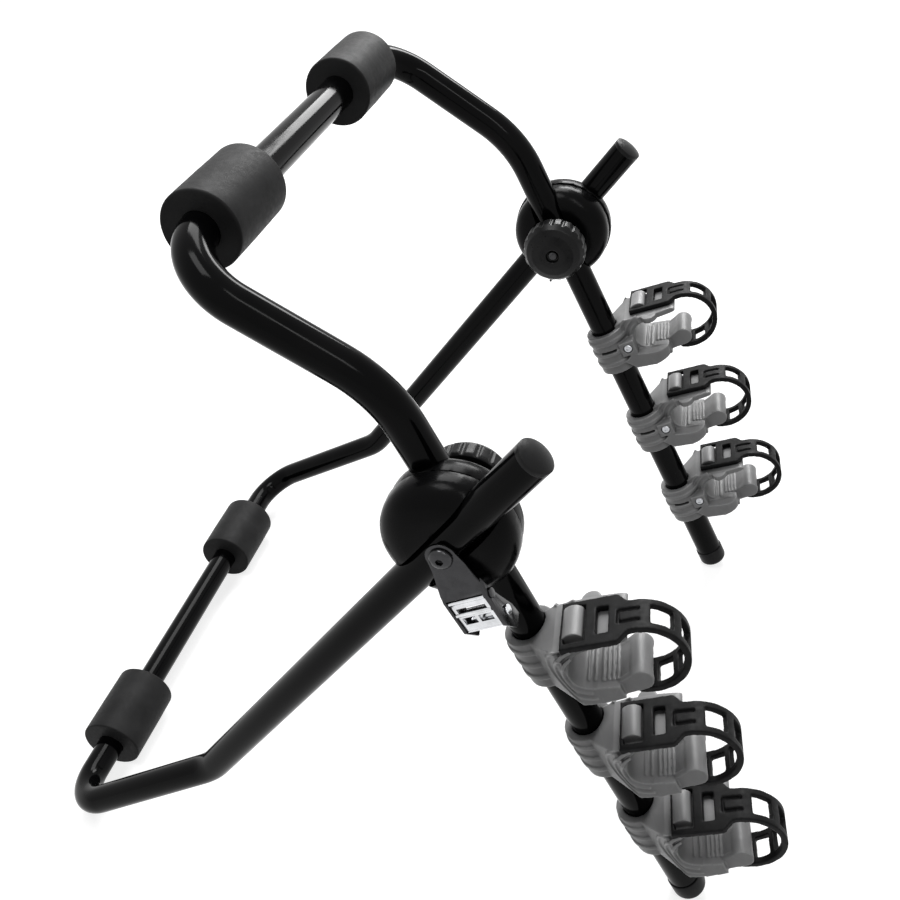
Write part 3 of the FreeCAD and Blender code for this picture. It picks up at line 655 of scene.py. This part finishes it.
@dataclass(frozen=True)
class SoftSkin:
    """One skin with soft edges over a piece's overlapping solids."""

    grid: float
    rounds: int
    share: float
    factor: float = 0.5
    crease: float = 60.0

    def apply(self, piece: Piece) -> None:
        """Rebuild a piece on the grid in millimetres, smooth it, and keep a share of its faces."""
        remesh = piece.modifiers.new("skin", "REMESH")
        remesh.mode = "VOXEL"
        remesh.voxel_size = self.grid * MM
        soften = piece.modifiers.new("soften", "SMOOTH")
        soften.factor = self.factor
        soften.iterations = self.rounds
        thin = piece.modifiers.new("thin", "DECIMATE")
        thin.ratio = self.share
        bake(piece)
        smooth_shade(piece, self.crease)


def joined(piece: Piece, extras: Sequence[Mesh]) -> None:
    """Add more meshes to a piece's mesh."""
    work = bmesh.new()
    work.from_mesh(piece.data)
    for mesh in extras:
        work.from_mesh(mesh)
    work.to_mesh(piece.data)
    work.free()
    for mesh in extras:
        bpy.data.meshes.remove(mesh)


@dataclass
class TubeFrames:
    """The two bent tubes, swept smooth along their bends. Sizes are in millimetres."""

    carrier: Carrier
    arm_end: float = 438.0
    upper_leg: float = 105.7
    hoop: Triple = (-235.0, 222.0, -82.5)
    leg_angle: float = 61.8
    leg_half_width: float = 246.5
    knee: float = 401.5
    tail: float = 97.0
    shin: float = 195.7
    shin_turn: float = 22.5
    shin_flare: float = 13.8
    main_radius: float = 14.0
    main_bends: tuple[float, ...] = (110.0, 46.0, 46.0, 110.0)
    lower_radius: float = 13.5
    lower_bends: tuple[float, ...] = (62.0, 42.0, 42.0, 62.0)
    plug_edge: float = 0.6
    cap_edge: float = 0.5
    sides: int = 40
    bend_step: float = 4.0

    def build(self) -> None:
        """Make both tubes and their end pieces."""
        self.tube("main_frame", self.main_corners(), self.main_bends, self.main_radius)
        self.tube("lower_frame", self.lower_corners(), self.lower_bends, self.lower_radius)
        for side in Side:
            for name, width in (("arm_plug", self.plug_edge), ("tail_cap", self.cap_edge)):
                node = f"{side.word}_{name}"
                self.carrier.bevelled(node, f"{node}_moulding", width, self.carrier.finishes.cap)

    def main_corners(self) -> list[Vector]:
        """Corner points of the tube that carries the cradles."""
        w = self.carrier.arm.half_width
        x, y, z = self.hoop
        half = [(self.arm_end, w, 0), (-self.upper_leg, w, 0), (x, y, z)]
        return [Vector((a, -b, c)) for a, b, c in half] + [Vector(p) for p in reversed(half)]

    def lower_corners(self) -> list[Vector]:
        """Corner points of the tube that rests on the car."""
        angle = math.radians(self.leg_angle)
        leg = Vector((math.cos(angle), 0, -math.sin(angle)))
        turned = angle + math.radians(self.shin_turn)
        run = math.sqrt(self.shin ** 2 - self.shin_flare ** 2)
        out = Vector((0, self.leg_half_width, 0))
        knee = leg * self.knee + out
        foot = knee + Vector((run * math.cos(turned), self.shin_flare, -run * math.sin(turned)))
        half = [leg * -self.tail + out, knee, foot]
        return [Vector((p.x, -p.y, p.z)) for p in half] + list(reversed(half))

    def tube(self, node: str, corners: Sequence[Vector], radii: Sequence[float], radius: float) -> None:
        """Sweep one tube along its corners and stand for its node."""
        place = self.carrier.arm.matrix()
        route = [place @ p for p in rounded_route(corners, radii, self.bend_step)]
        piece = new_piece(f"{node}_tube", swept(node, route, radius * MM, self.sides))
        smooth_shade(piece)
        dress(piece, self.carrier.finishes.paint)
        self.carrier.stand_for(piece, node)


@dataclass
class FoamPads:
    """The four foam sleeves. Sizes are in millimetres, and dents in metres."""

    carrier: Carrier
    bores: dict[str, float] = field(default_factory=lambda: {"upper": 14.05, "lower": 13.55})
    rim: float = 1.7
    rim_steps: int = 6
    chamfer: float = 0.2
    face_shares: tuple[float, ...] = (0.15, 0.35, 0.6, 0.85)
    swell: float = 0.15
    swell_reach: float = 0.85
    swell_steps: int = 5
    bore_ring: float = 0.8
    upper_slimmer: float = 1.9
    upper_longer: float = 5.0
    dents: tuple[Pair, ...] = ((45.0, 0.00012), (160.0, 0.00005))
    sink: float = 0.0001
    dented_from: float = 0.02
    sides: int = 120
    crease: float = 30.0

    def build(self) -> None:
        """Make every sleeve."""
        for side in Side:
            for level, bore in self.bores.items():
                self.sleeve(f"{side.word}_{level}_foam_pad", bore)

    def end_outline(self, bore: float, radius: float, half: float, end: int) -> list[Pair]:
        """Outline of one end, from the bore over the flat face and round the rim."""
        wall = radius - self.rim - bore
        outline = [(bore, end * (half - self.chamfer)), (bore + self.chamfer, end * half)]
        outline += [(bore + wall * share, end * half) for share in self.face_shares]
        for k in range(self.rim_steps + 1):
            angle = math.radians(90 * k / self.rim_steps)
            out = radius - self.rim + self.rim * math.sin(angle)
            outline.append((out, end * (half - self.rim + self.rim * math.cos(angle))))
        return outline

    def profile(self, bore: float, radius: float, length: float) -> list[Pair]:
        """Closed outline of a sleeve's wall, swelling a little between its ends."""
        half = length / 2
        outline = self.end_outline(bore, radius, half, 1)
        for k in range(self.swell_steps - 1, -self.swell_steps, -1):
            share = k / self.swell_steps
            outline.append((radius + self.swell * (1 - abs(share)), half * share * self.swell_reach))
        outline += reversed(self.end_outline(bore, radius, half, -1))
        return outline + [(bore, -half * self.bore_ring), (bore, 0.0), (bore, half * self.bore_ring)]

    def sleeve(self, node: str, bore: float) -> None:
        """Make one sleeve, with the small dents of cut foam."""
        low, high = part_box(node)
        centre = (low + high) / 2
        radius = (high.z - low.z) / 2 / MM
        length = (high.y - low.y) / MM
        if "upper" in node:
            radius -= self.upper_slimmer
            length += self.upper_longer
        place = Matrix.Translation(centre) @ Matrix.Scale(MM, 4)
        outline = self.profile(bore, radius, length)
        piece = new_piece(f"{node}_sleeve", lathe(node, outline, self.sides, place))
        for vertex in piece.data.vertices:
            out = vertex.co - centre
            out.y = 0
            if out.length < self.dented_from:
                continue
            dent = sum(noise.noise(vertex.co * scale) * depth for scale, depth in self.dents)
            vertex.co += out.normalized() * (dent - self.sink)
        smooth_shade(piece, self.crease)
        dress(piece, self.carrier.finishes.foam)
        self.carrier.stand_for(piece, node)


@dataclass
class Hubs:
    """The round clamps at the crossing of the tubes, with their knobs and bolts, in millimetres."""

    carrier: Carrier
    shell_edge: float = 0.45
    spacer_edge: float = 0.6
    bolt_edge: float = 0.35
    knob_skin: SoftSkin = SoftSkin(grid=0.6, rounds=4, share=0.5)

    def build(self) -> None:
        """Dress both hubs."""
        bevelled = self.carrier.bevelled
        finishes = self.carrier.finishes
        for side in Side:
            word = side.word
            for half in ("inner", "outer"):
                node = f"{word}_hub_{half}_shell"
                bevelled(node, f"{node}_moulding", self.shell_edge, finishes.hub)
            bevelled(f"{word}_hub_spacer", f"{word}_hub_spacer_ring", self.spacer_edge, finishes.hub)
            bevelled(f"{word}_pivot_bolt", f"{word}_pivot_bolt_turned", self.bolt_edge, finishes.steel)
            self.knob(f"{word}_knob")
            self.carrier.keep(f"{word}_knob_nut", finishes.zinc)

    def knob(self, node: str) -> None:
        """Round the flutes of one knob."""
        piece = self.carrier.copy_of(node, f"{node}_moulding")
        self.knob_skin.apply(piece)
        dress(piece, self.carrier.finishes.knob)
        self.carrier.stand_for(piece, node)


@dataclass
class Buckles:
    """The plated webbing buckles under the bolt heads. Sizes are in millimetres."""

    carrier: Carrier
    swing: dict[Side, float] = field(default_factory=lambda: {Side.LEFT: -3.0, Side.RIGHT: 25.0})
    plate: Pair = (35.0, 63.0)
    plate_top: float = 267.8
    half_width: float = 13.9
    rail: float = 2.6
    web: float = 1.3
    slot: Pair = (5.8, 10.0)
    window: Pair = (14.6, 20.8)
    cut: Pair = (-3.2, 3.0)
    bead: float = 1.1
    bead_sides: int = 16
    bead_in: Triple = (0.6, 11.5, 0.8)
    bead_down: Triple = (0.6, 0.2, 0.7)
    bracket_edge: float = 0.35
    bar_edge: float = 0.3

    def build(self) -> None:
        """Dress both buckles."""
        finishes = self.carrier.finishes
        plated = (("buckle_bracket", self.bracket_edge, finishes.steel),
                  ("buckle_web_bar", self.bar_edge, finishes.steel),
                  ("buckle_cam_pin", self.bar_edge, finishes.chrome))
        for side in Side:
            for name, width, material in plated:
                node = f"{side.word}_{name}"
                self.carrier.bevelled(node, f"{node}_plated", width, material)
            self.lever(side)

    def windows(self) -> list[tuple[float, float, float, float]]:
        """The thumb plate's openings, as (x, x, z, z) in the buckle's frame."""
        near = self.plate[0]
        side = self.half_width - self.rail
        slot = [near + x for x in self.slot]
        window = [near + x for x in self.window]
        return [(*slot, -side, side), (*window, -side, -self.web), (*window, self.web, side)]

    def beads(self) -> list[Pair]:
        """Rolled edges across the thumb plate, as (x, y) in the buckle's frame."""
        near, far = self.plate
        front, middle, back = self.bead_in
        ups = [self.plate_top - down for down in self.bead_down]
        return list(zip((near + front, near + middle, far - back), ups))

    def lever(self, side: Side) -> None:
        """Open the windows in one cam lever's thumb plate and roll its edges."""
        node = f"{side.word}_buckle_cam_lever"
        place = self.carrier.arm.on_buckle(side, self.swing[side])
        piece = self.carrier.copy_of(node, f"{node}_plated")
        under, over = (self.plate_top + y for y in self.cut)
        cutters = []
        for x0, x1, z0, z1 in self.windows():
            cutter = new_piece("cutter", block_mesh("cutter", (x0, under, z0), (x1, over, z1), place))
            cut = piece.modifiers.new("window", "BOOLEAN")
            cut.object = cutter
            cut.solver = "EXACT"
            cutters.append(cutter)
        bake(piece)
        for cutter in cutters:
            bpy.data.objects.remove(cutter)
        bars = []
        for x, y in self.beads():
            ends = [place @ Vector((x, y, z)) for z in (-self.half_width, self.half_width)]
            bars.append(swept("bead", ends, self.bead * MM, self.bead_sides))
        joined(piece, bars)
        break_edges(piece, self.bar_edge)
        dress(piece, self.carrier.finishes.chrome)
        self.carrier.stand_for(piece, node)


CELL_SIDES = (
    ((-1, 0, 0), ((0, 0, 0), (0, 0, 1), (0, 1, 1), (0, 1, 0))),
    ((1, 0, 0), ((1, 0, 0), (1, 1, 0), (1, 1, 1), (1, 0, 1))),
    ((0, -1, 0), ((0, 0, 0), (1, 0, 0), (1, 0, 1), (0, 0, 1))),
    ((0, 1, 0), ((0, 1, 0), (0, 1, 1), (1, 1, 1), (1, 1, 0))),
    ((0, 0, -1), ((0, 0, 0), (0, 1, 0), (1, 1, 0), (1, 0, 0))),
    ((0, 0, 1), ((0, 0, 1), (1, 0, 1), (1, 1, 1), (0, 1, 1))),
)


def moved(cell: Sequence[int], step: Sequence[int]) -> tuple[int, ...]:
    """A cell's place, moved by a step."""
    return tuple(a + b for a, b in zip(cell, step))


@dataclass(frozen=True)
class StrapForm:
    """A ladder strap in its cradle's frame: (along the arm, outwards, up), in millimetres.

    The strap runs straight from its head's end bar, round a loop, and on to the eye at the jaw's pin.
    Windows are (first run, last run, half width). Grooves are (first run, last run, across, across),
    where an across of 0 or more stands for both halves of the strap.
    """

    head: Pair = (-8.3, 25.9)
    centre: Pair = (26.0, 80.0)
    radius: float = 29.5
    arc_end: float = -25.0
    pin: Pair = (40.0, 72.0)
    pin_clear: float = 4.1
    eye_r: float = 6.5
    middle: float = 21.5
    head_half: float = 23.0
    tail_half: float = 14.5
    shoulder: Pair = (45.0, 55.0)
    first: float = 5.5
    windows: tuple[Triple, ...] = (
        (8.2, 23.2, 17.6), (30.5, 40.0, 13.0), (68.5, 85.5, 9.0), (91.5, 108.0, 9.0),
        (114.0, 128.0, 9.0), (134.0, 147.0, 9.0))
    grooves: tuple[tuple[float, float, float, float], ...] = (
        (46.0, 62.0, 4.0, 7.2), (46.0, 48.0, -4.0, 4.0))
    layers: tuple[float, ...] = (-2.5, 0.2, 2.5)
    step: float = 1.0
    sag: float = 1.5
    slack: float = 1.1
    eye_sides: int = 48

    def tangent(self) -> Pair:
        """The angle where the straight part meets the loop, and the straight part's length."""
        away = Vector(self.head) - Vector(self.centre)
        angle = math.atan2(away.y, away.x) % math.tau - math.acos(self.radius / away.length)
        return angle, math.sqrt(away.length ** 2 - self.radius ** 2)

    def at(self, run: float, lift: float) -> Vector:
        """The point at a run along the strap's middle line, lifted off it."""
        angle, straight = self.tangent()
        centre = Vector(self.centre)
        finish = math.radians(self.arc_end)
        arc = self.radius * (angle - finish)
        if run <= straight:
            out = Vector((math.cos(angle), math.sin(angle)))
            foot = Vector(self.head).lerp(centre + out * self.radius, run / straight)
            return foot + out * lift
        if run <= straight + arc:
            turn = angle - (run - straight) / self.radius
            return centre + Vector((math.cos(turn), math.sin(turn))) * (self.radius + lift)
        start = centre + Vector((math.cos(finish), math.sin(finish))) * self.radius
        ahead = Vector((math.sin(finish), -math.cos(finish)))
        bend = start + ahead * self.sag
        pin = Vector(self.pin)
        share = min(1.0, (run - straight - arc) / self.tail())
        here = start.lerp(bend, share).lerp(bend.lerp(pin, share), share)
        way = (bend.lerp(pin, share) - start.lerp(bend, share)).normalized()
        return here + Vector((-way.y, way.x)) * lift

    def tail(self) -> float:
        """The length of the last part, from the loop's end to the pin."""
        finish = math.radians(self.arc_end)
        start = Vector(self.centre) + Vector((math.cos(finish), math.sin(finish))) * self.radius
        return self.slack * (Vector(self.pin) - start).length

    def length(self) -> float:
        """The whole strap's length along its middle line."""
        angle, straight = self.tangent()
        return straight + self.radius * (angle - math.radians(self.arc_end)) + self.tail()

    def half(self, run: float) -> float:
        """Half the strap's width at a run along it."""
        first, last = self.shoulder
        share = min(1.0, max(0.0, (run - first) / (last - first)))
        return self.head_half + (self.tail_half - self.head_half) * share * share * (3 - 2 * share)

    def filled(self, run: float, across: float, layer: int) -> bool:
        """Whether the strap has rubber at a place."""
        if run < self.first or (self.at(run, 0.0) - Vector(self.pin)).length < self.pin_clear:
            return False
        if any(first < run < last and abs(across) < width for first, last, width in self.windows):
            return False
        if layer < len(self.layers) - 2:
            return True
        return not any(first < run < last and low < (across if low < 0 else abs(across)) < high
                       for first, last, low, high in self.grooves)

    def mesh(self, place: Matrix) -> Mesh:
        """The strap as a closed mesh of small cells, placed in the standing frame."""
        runs = int(self.length() / self.step)
        columns = int(2 * self.head_half / self.step)
        count = len(self.layers) - 1
        solid = set()
        for i in range(runs):
            run = (i + 0.5) * self.step
            for j in range(columns):
                across = self.half(run) * (2 * (j + 0.5) / columns - 1)
                solid.update((i, j, k) for k in range(count) if self.filled(run, across, k))
        numbers: dict[tuple[int, ...], int] = {}
        faces = []
        for cell in solid:
            for step, corners in CELL_SIDES:
                if moved(cell, step) in solid:
                    continue
                faces.append([numbers.setdefault(moved(cell, corner), len(numbers)) for corner in corners])
        points = []
        for i, j, k in numbers:
            run = i * self.step
            along, up = self.at(run, self.layers[k])
            across = self.middle + self.half(run) * (2 * j / columns - 1)
            points.append(place @ Vector((along, across, up)))
        return mesh_from("strap", points, faces)

    def eye(self, place: Matrix) -> Mesh:
        """The ring round the jaw's pin."""
        near, far = self.middle - self.tail_half, self.middle + self.tail_half
        at_pin = place @ Matrix.Translation(Vector((self.pin[0], 0, self.pin[1])))
        profile = [(self.pin_clear, near), (self.eye_r, near), (self.eye_r, far), (self.pin_clear, far)]
        return lathe("eye", profile, self.eye_sides, at_pin)


@dataclass
class Cradles:
    """The six moulded cradles, their screws and their ladder straps, in millimetres.

    The hook's barrel and the plate under it are moved from where the solids have them: solid_hook is
    the barrel's middle there, and hook is where it is shown.
    """

    carrier: Carrier
    places: tuple[float, ...] = (115.5, 225.5, 332.5)
    lean: dict[Side, float] = field(default_factory=lambda: {Side.LEFT: -6.0, Side.RIGHT: 4.0})
    cradle_skin: SoftSkin = SoftSkin(grid=0.7, rounds=2, share=0.3)
    strap_skin: SoftSkin = SoftSkin(grid=0.75, rounds=4, share=0.4)
    screw_edge: float = 0.3
    solid_hook: Pair = (-12.0, 43.5)
    hook: Pair = (-7.2, 39.5)
    hook_scale: Pair = (0.65, 0.94)
    hook_up: Pair = (30.0, 56.0)
    barrel_before: float = -5.7
    plate_root: Pair = (4.0, 26.0)
    plate_top: float = 58.0
    plate_edge: float = -8.0
    plate_near: float = 0.1
    plate_wider: float = 2.0
    taper: float = 0.0091
    wing_from: float = 30.0
    wing_root: Pair = (19.0, 22.0)
    wing_fade: Pair = (15.0, 10.0)
    wing_share: float = 0.5
    saddle: Pair = (19.0, 42.0)
    bowl: float = 15.0
    bowl_ribs: tuple[float, ...] = (-8.0, -27.0)
    rib_ends: Pair = (-4.0, 36.0)
    rib_radius: float = 0.9
    contours: tuple[tuple[float, int, int], ...] = ((19.0, 200, 345), (24.5, 190, 352), (30.5, 215, 330))
    contour_steps: int = 16
    contour_radius: float = 1.5
    contour_sink: float = 0.3
    inner_flank: float = -7.8
    outer_flank: Triple = (44.0, 19.5, 0.98)
    bar_sides: int = 10

    def build(self) -> None:
        """Make one cradle and one strap, and set the rest from them."""
        place = self.carrier.arm.on_arm(Side.RIGHT, self.places[0], self.lean[Side.RIGHT])
        cradle = self.carrier.copy_of("right_cradle_1", "cradle_model")
        self.seat_hook(cradle.data, place)
        joined(cradle, self.ridges(place))
        model = self.master(cradle, place, self.cradle_skin)
        form = StrapForm()
        band = new_piece("strap_model", form.mesh(place))
        joined(band, [form.eye(place)])
        strap = self.master(band, place, self.strap_skin)
        finishes = self.carrier.finishes
        for side in Side:
            for number, along in enumerate(self.places, 1):
                place = self.carrier.arm.on_arm(side, along, self.lean[side])
                self.copy(model, f"{side.word}_cradle_{number}", place, side, finishes.cradle)
                self.copy(strap, f"{side.word}_strap_{number}", place, side, finishes.strap)
                screw = f"{side.word}_cradle_screw_{number}"
                self.carrier.bevelled(screw, f"{screw}_turned", self.screw_edge, finishes.zinc)
        for pattern in (model, strap):
            bpy.data.meshes.remove(pattern)

    def seat_hook(self, mesh: Mesh, place: Matrix) -> None:
        """Draw the hook's barrel down towards the plate, and taper the plate under the strap."""
        back = place.inverted()
        root_along, root_up = self.plate_root
        wing_along, wing_up = self.wing_root
        for vertex in mesh.vertices:
            along, out, up = back @ vertex.co
            if along < self.barrel_before and self.hook_up[0] < up < self.hook_up[1]:
                along = self.hook[0] + (along - self.solid_hook[0]) * self.hook_scale[0]
                up = self.hook[1] + (up - self.solid_hook[1]) * self.hook_scale[1]
            elif along < root_along and up > root_up:
                along = root_along - (root_along - along) * (1 - self.taper * (up - root_up))
                if abs(out - self.plate_edge) < self.plate_near and up < self.plate_top:
                    out -= self.plate_wider
            if out > self.wing_from and up > wing_up and along < wing_along:
                narrow = min(1.0, (wing_along - along) / self.wing_fade[0])
                narrow *= min(1.0, (up - wing_up) / self.wing_fade[1])
                out = self.wing_from + (out - self.wing_from) * (1 - self.wing_share * narrow)
            vertex.co = place @ Vector((along, out, up))

    def master(self, piece: Piece, place: Matrix, skin: SoftSkin) -> Mesh:
        """Soften a right-hand piece and take its mesh to its own frame.

        Args:
            piece: The piece, which is used up.
            place: The matrix from the piece's own frame to the standing frame.
            skin: How the piece is softened.

        Returns:
            The mesh in the piece's own frame, in millimetres.
        """
        skin.apply(piece)
        mesh = piece.data
        mesh.transform(place.inverted())
        bpy.data.objects.remove(piece)
        return mesh

    def copy(self, pattern: Mesh, node: str, place: Matrix, side: Side, material: Material) -> None:
        """Set a copy of a pattern on an arm and stand for a node."""
        mesh = pattern.copy()
        mesh.transform(place)
        if side is Side.LEFT:
            mesh.flip_normals()
        piece = new_piece(f"{node}_moulding", mesh)
        mesh.name = piece.name
        dress(piece, material)
        self.carrier.stand_for(piece, node)

    def flank(self, height: float) -> float:
        """How far out the cradle's outer flank lies at a height."""
        widest, foot, slope = self.outer_flank
        return min(widest, foot + slope * (height - 1.0))

    def round_saddle(self, reach: float, degrees: float) -> Vector:
        """A point round the saddle's middle, as (along, up)."""
        angle = math.radians(degrees)
        return Vector(self.saddle) + reach * Vector((math.cos(angle), math.sin(angle)))

    def ridges(self, place: Matrix) -> list[Mesh]:
        """Ribs in the saddle's bowl and contour lines round it on both flanks, as bars."""
        bars = []
        for degrees in self.bowl_ribs:
            a, b = self.round_saddle(self.bowl, degrees)
            ends = [place @ Vector((a, out, b)) for out in self.rib_ends]
            bars.append(swept("rib", ends, self.rib_radius * MM, self.bar_sides))
        for reach, first, last in self.contours:
            rim = [self.round_saddle(reach, first + (last - first) * k / self.contour_steps)
                   for k in range(self.contour_steps + 1)]
            outer = [place @ Vector((a, self.flank(b) - self.contour_sink, b)) for a, b in rim]
            inner = [place @ Vector((a, self.inner_flank, b)) for a, b in rim]
            for route in (outer, inner):
                bars.append(swept("ridge", route, self.contour_radius * MM, self.bar_sides))
        return bars


@dataclass(frozen=True)
class Camera:
    """The camera, as fitted to the photograph in the arm frame: sizes in pixels and millimetres."""

    focal: float = 1008.47
    width: float = 900.0
    sensor: float = 36.0
    clip: Pair = (0.01, 60.0)
    place: Triple = (-351.7, -717.5, 327.4)
    right: Triple = (0.4588, 0.2465, 0.8537)
    down: Triple = (0.762, -0.6033, -0.2354)
    forward: Triple = (0.457, 0.7585, -0.4646)

    def build(self, arm: ArmFrame) -> None:
        """Make the camera and set it as the scene's."""
        data = bpy.data.cameras.new("camera")
        data.sensor_width = self.sensor
        data.lens = self.sensor * self.focal / self.width
        data.clip_start, data.clip_end = self.clip
        camera = new_piece("camera", data)
        turn = Matrix.Rotation(math.radians(arm.pitch), 3, "Y")
        columns = [turn @ Vector(self.right), turn @ -Vector(self.down), turn @ -Vector(self.forward)]
        matrix = Matrix(columns).transposed().to_4x4()
        matrix.translation = arm.point(*self.place)
        camera.matrix_world = matrix
        bpy.context.scene.camera = camera


@dataclass(frozen=True)
class SoftBox:
    """A lamp that faces a point. Places and sizes are in metres, and its power in watts."""

    name: str
    place: Triple
    target: Triple
    size: Pair
    power: float

    def build(self) -> None:
        """Hang the lamp."""
        data = bpy.data.lights.new(self.name, "AREA")
        data.shape = "RECTANGLE"
        data.size, data.size_y = self.size
        data.energy = self.power
        lamp = new_piece(self.name, data)
        lamp.location = self.place
        lamp.rotation_mode = "QUATERNION"
        away = Vector(self.target) - Vector(self.place)
        lamp.rotation_quaternion = away.to_track_quat("-Z", "Y")


@dataclass(frozen=True)
class Studio:
    """A white floor and soft boxes round the carrier. Sizes are in metres."""

    floor_size: float = 40.0
    floor_grey: float = 0.4
    floor_roughness: float = 0.9
    glow_span: Pair = (0.9, 2.4)
    glow: Pair = (0.8, 1.0)
    world_light: float = 0.06
    boxes: tuple[SoftBox, ...] = (
        SoftBox("far_panel", (0.25, 2.3, 1.75), (-0.05, 0.0, 0.45), (1.1, 0.55), 34.0),
        SoftBox("foot_panel", (-0.3, 1.45, 2.2), (-0.33, 0.0, 0.03), (1.2, 1.1), 44.0),
        SoftBox("near_strip", (1.15, -1.1, 2.3), (-0.05, -0.1, 0.45), (0.22, 1.3), 9.0),
        SoftBox("top_box", (-0.35, -0.3, 2.7), (0.1, 0.0, 0.3), (1.0, 0.8), 24.0),
    )

    def build(self) -> None:
        """Make the floor, the world and the lamps."""
        self.floor()
        self.world()
        for box in self.boxes:
            box.build()

    def floor(self) -> None:
        """A pale floor that shows white to the camera and keeps the shadow."""
        half = self.floor_size / 2
        corners = [(-half, -half, 0), (half, -half, 0), (half, half, 0), (-half, half, 0)]
        floor = new_piece("floor", mesh_from("floor", corners, [(0, 1, 2, 3)]))
        material = bpy.data.materials.new("pale_floor")
        material.use_nodes = True
        tree = material.node_tree
        surface = tree.nodes["Principled BSDF"]
        surface.inputs["Base Color"].default_value = (*[self.floor_grey] * 3, 1)
        surface.inputs["Roughness"].default_value = self.floor_roughness
        path = tree.nodes.new("ShaderNodeLightPath")
        seen = larger(tree, path.outputs["Is Camera Ray"], path.outputs["Is Glossy Ray"])
        place = tree.nodes.new("ShaderNodeNewGeometry")
        away = tree.nodes.new("ShaderNodeVectorMath")
        away.operation = "LENGTH"
        tree.links.new(place.outputs["Position"], away.inputs[0])
        level = mapped(tree, away.outputs["Value"], self.glow_span, self.glow)
        glow = tree.nodes.new("ShaderNodeMath")
        glow.operation = "MULTIPLY"
        tree.links.new(level, glow.inputs[1])
        tree.links.new(seen, glow.inputs[0])
        surface.inputs["Emission Color"].default_value = (1, 1, 1, 1)
        tree.links.new(glow.outputs[0], surface.inputs["Emission Strength"])
        dress(floor, material)

    def world(self) -> None:
        """A white surround for the camera, with plain dim light for the rest."""
        world = bpy.data.worlds.new("surround")
        world.use_nodes = True
        bpy.context.scene.world = world
        tree = world.node_tree
        back = tree.nodes["Background"]
        back.inputs["Color"].default_value = (1, 1, 1, 1)
        path = tree.nodes.new("ShaderNodeLightPath")
        seen = larger(tree, path.outputs["Is Camera Ray"], path.outputs["Is Glossy Ray"])
        seen = larger(tree, seen, path.outputs["Is Transmission Ray"])
        light = mapped(tree, seen, (0.0, 1.0), (self.world_light, 1.0))
        tree.links.new(light, back.inputs["Strength"])


def main() -> None:
    """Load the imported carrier, dress it, and set the studio and the camera."""
    logging.basicConfig(level=logging.INFO, format="%(name)s: %(message)s")
    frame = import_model()
    carrier = Carrier(frame, Finishes.build())
    Camera().build(carrier.arm)
    for assembly in (TubeFrames, FoamPads, Hubs, Buckles, Cradles):
        assembly(carrier).build()
        LOG.info("%s done", assembly.__name__)
    Studio().build()
    bpy.context.scene.view_settings.view_transform = "Standard"


if __name__ == "__main__":
    main()
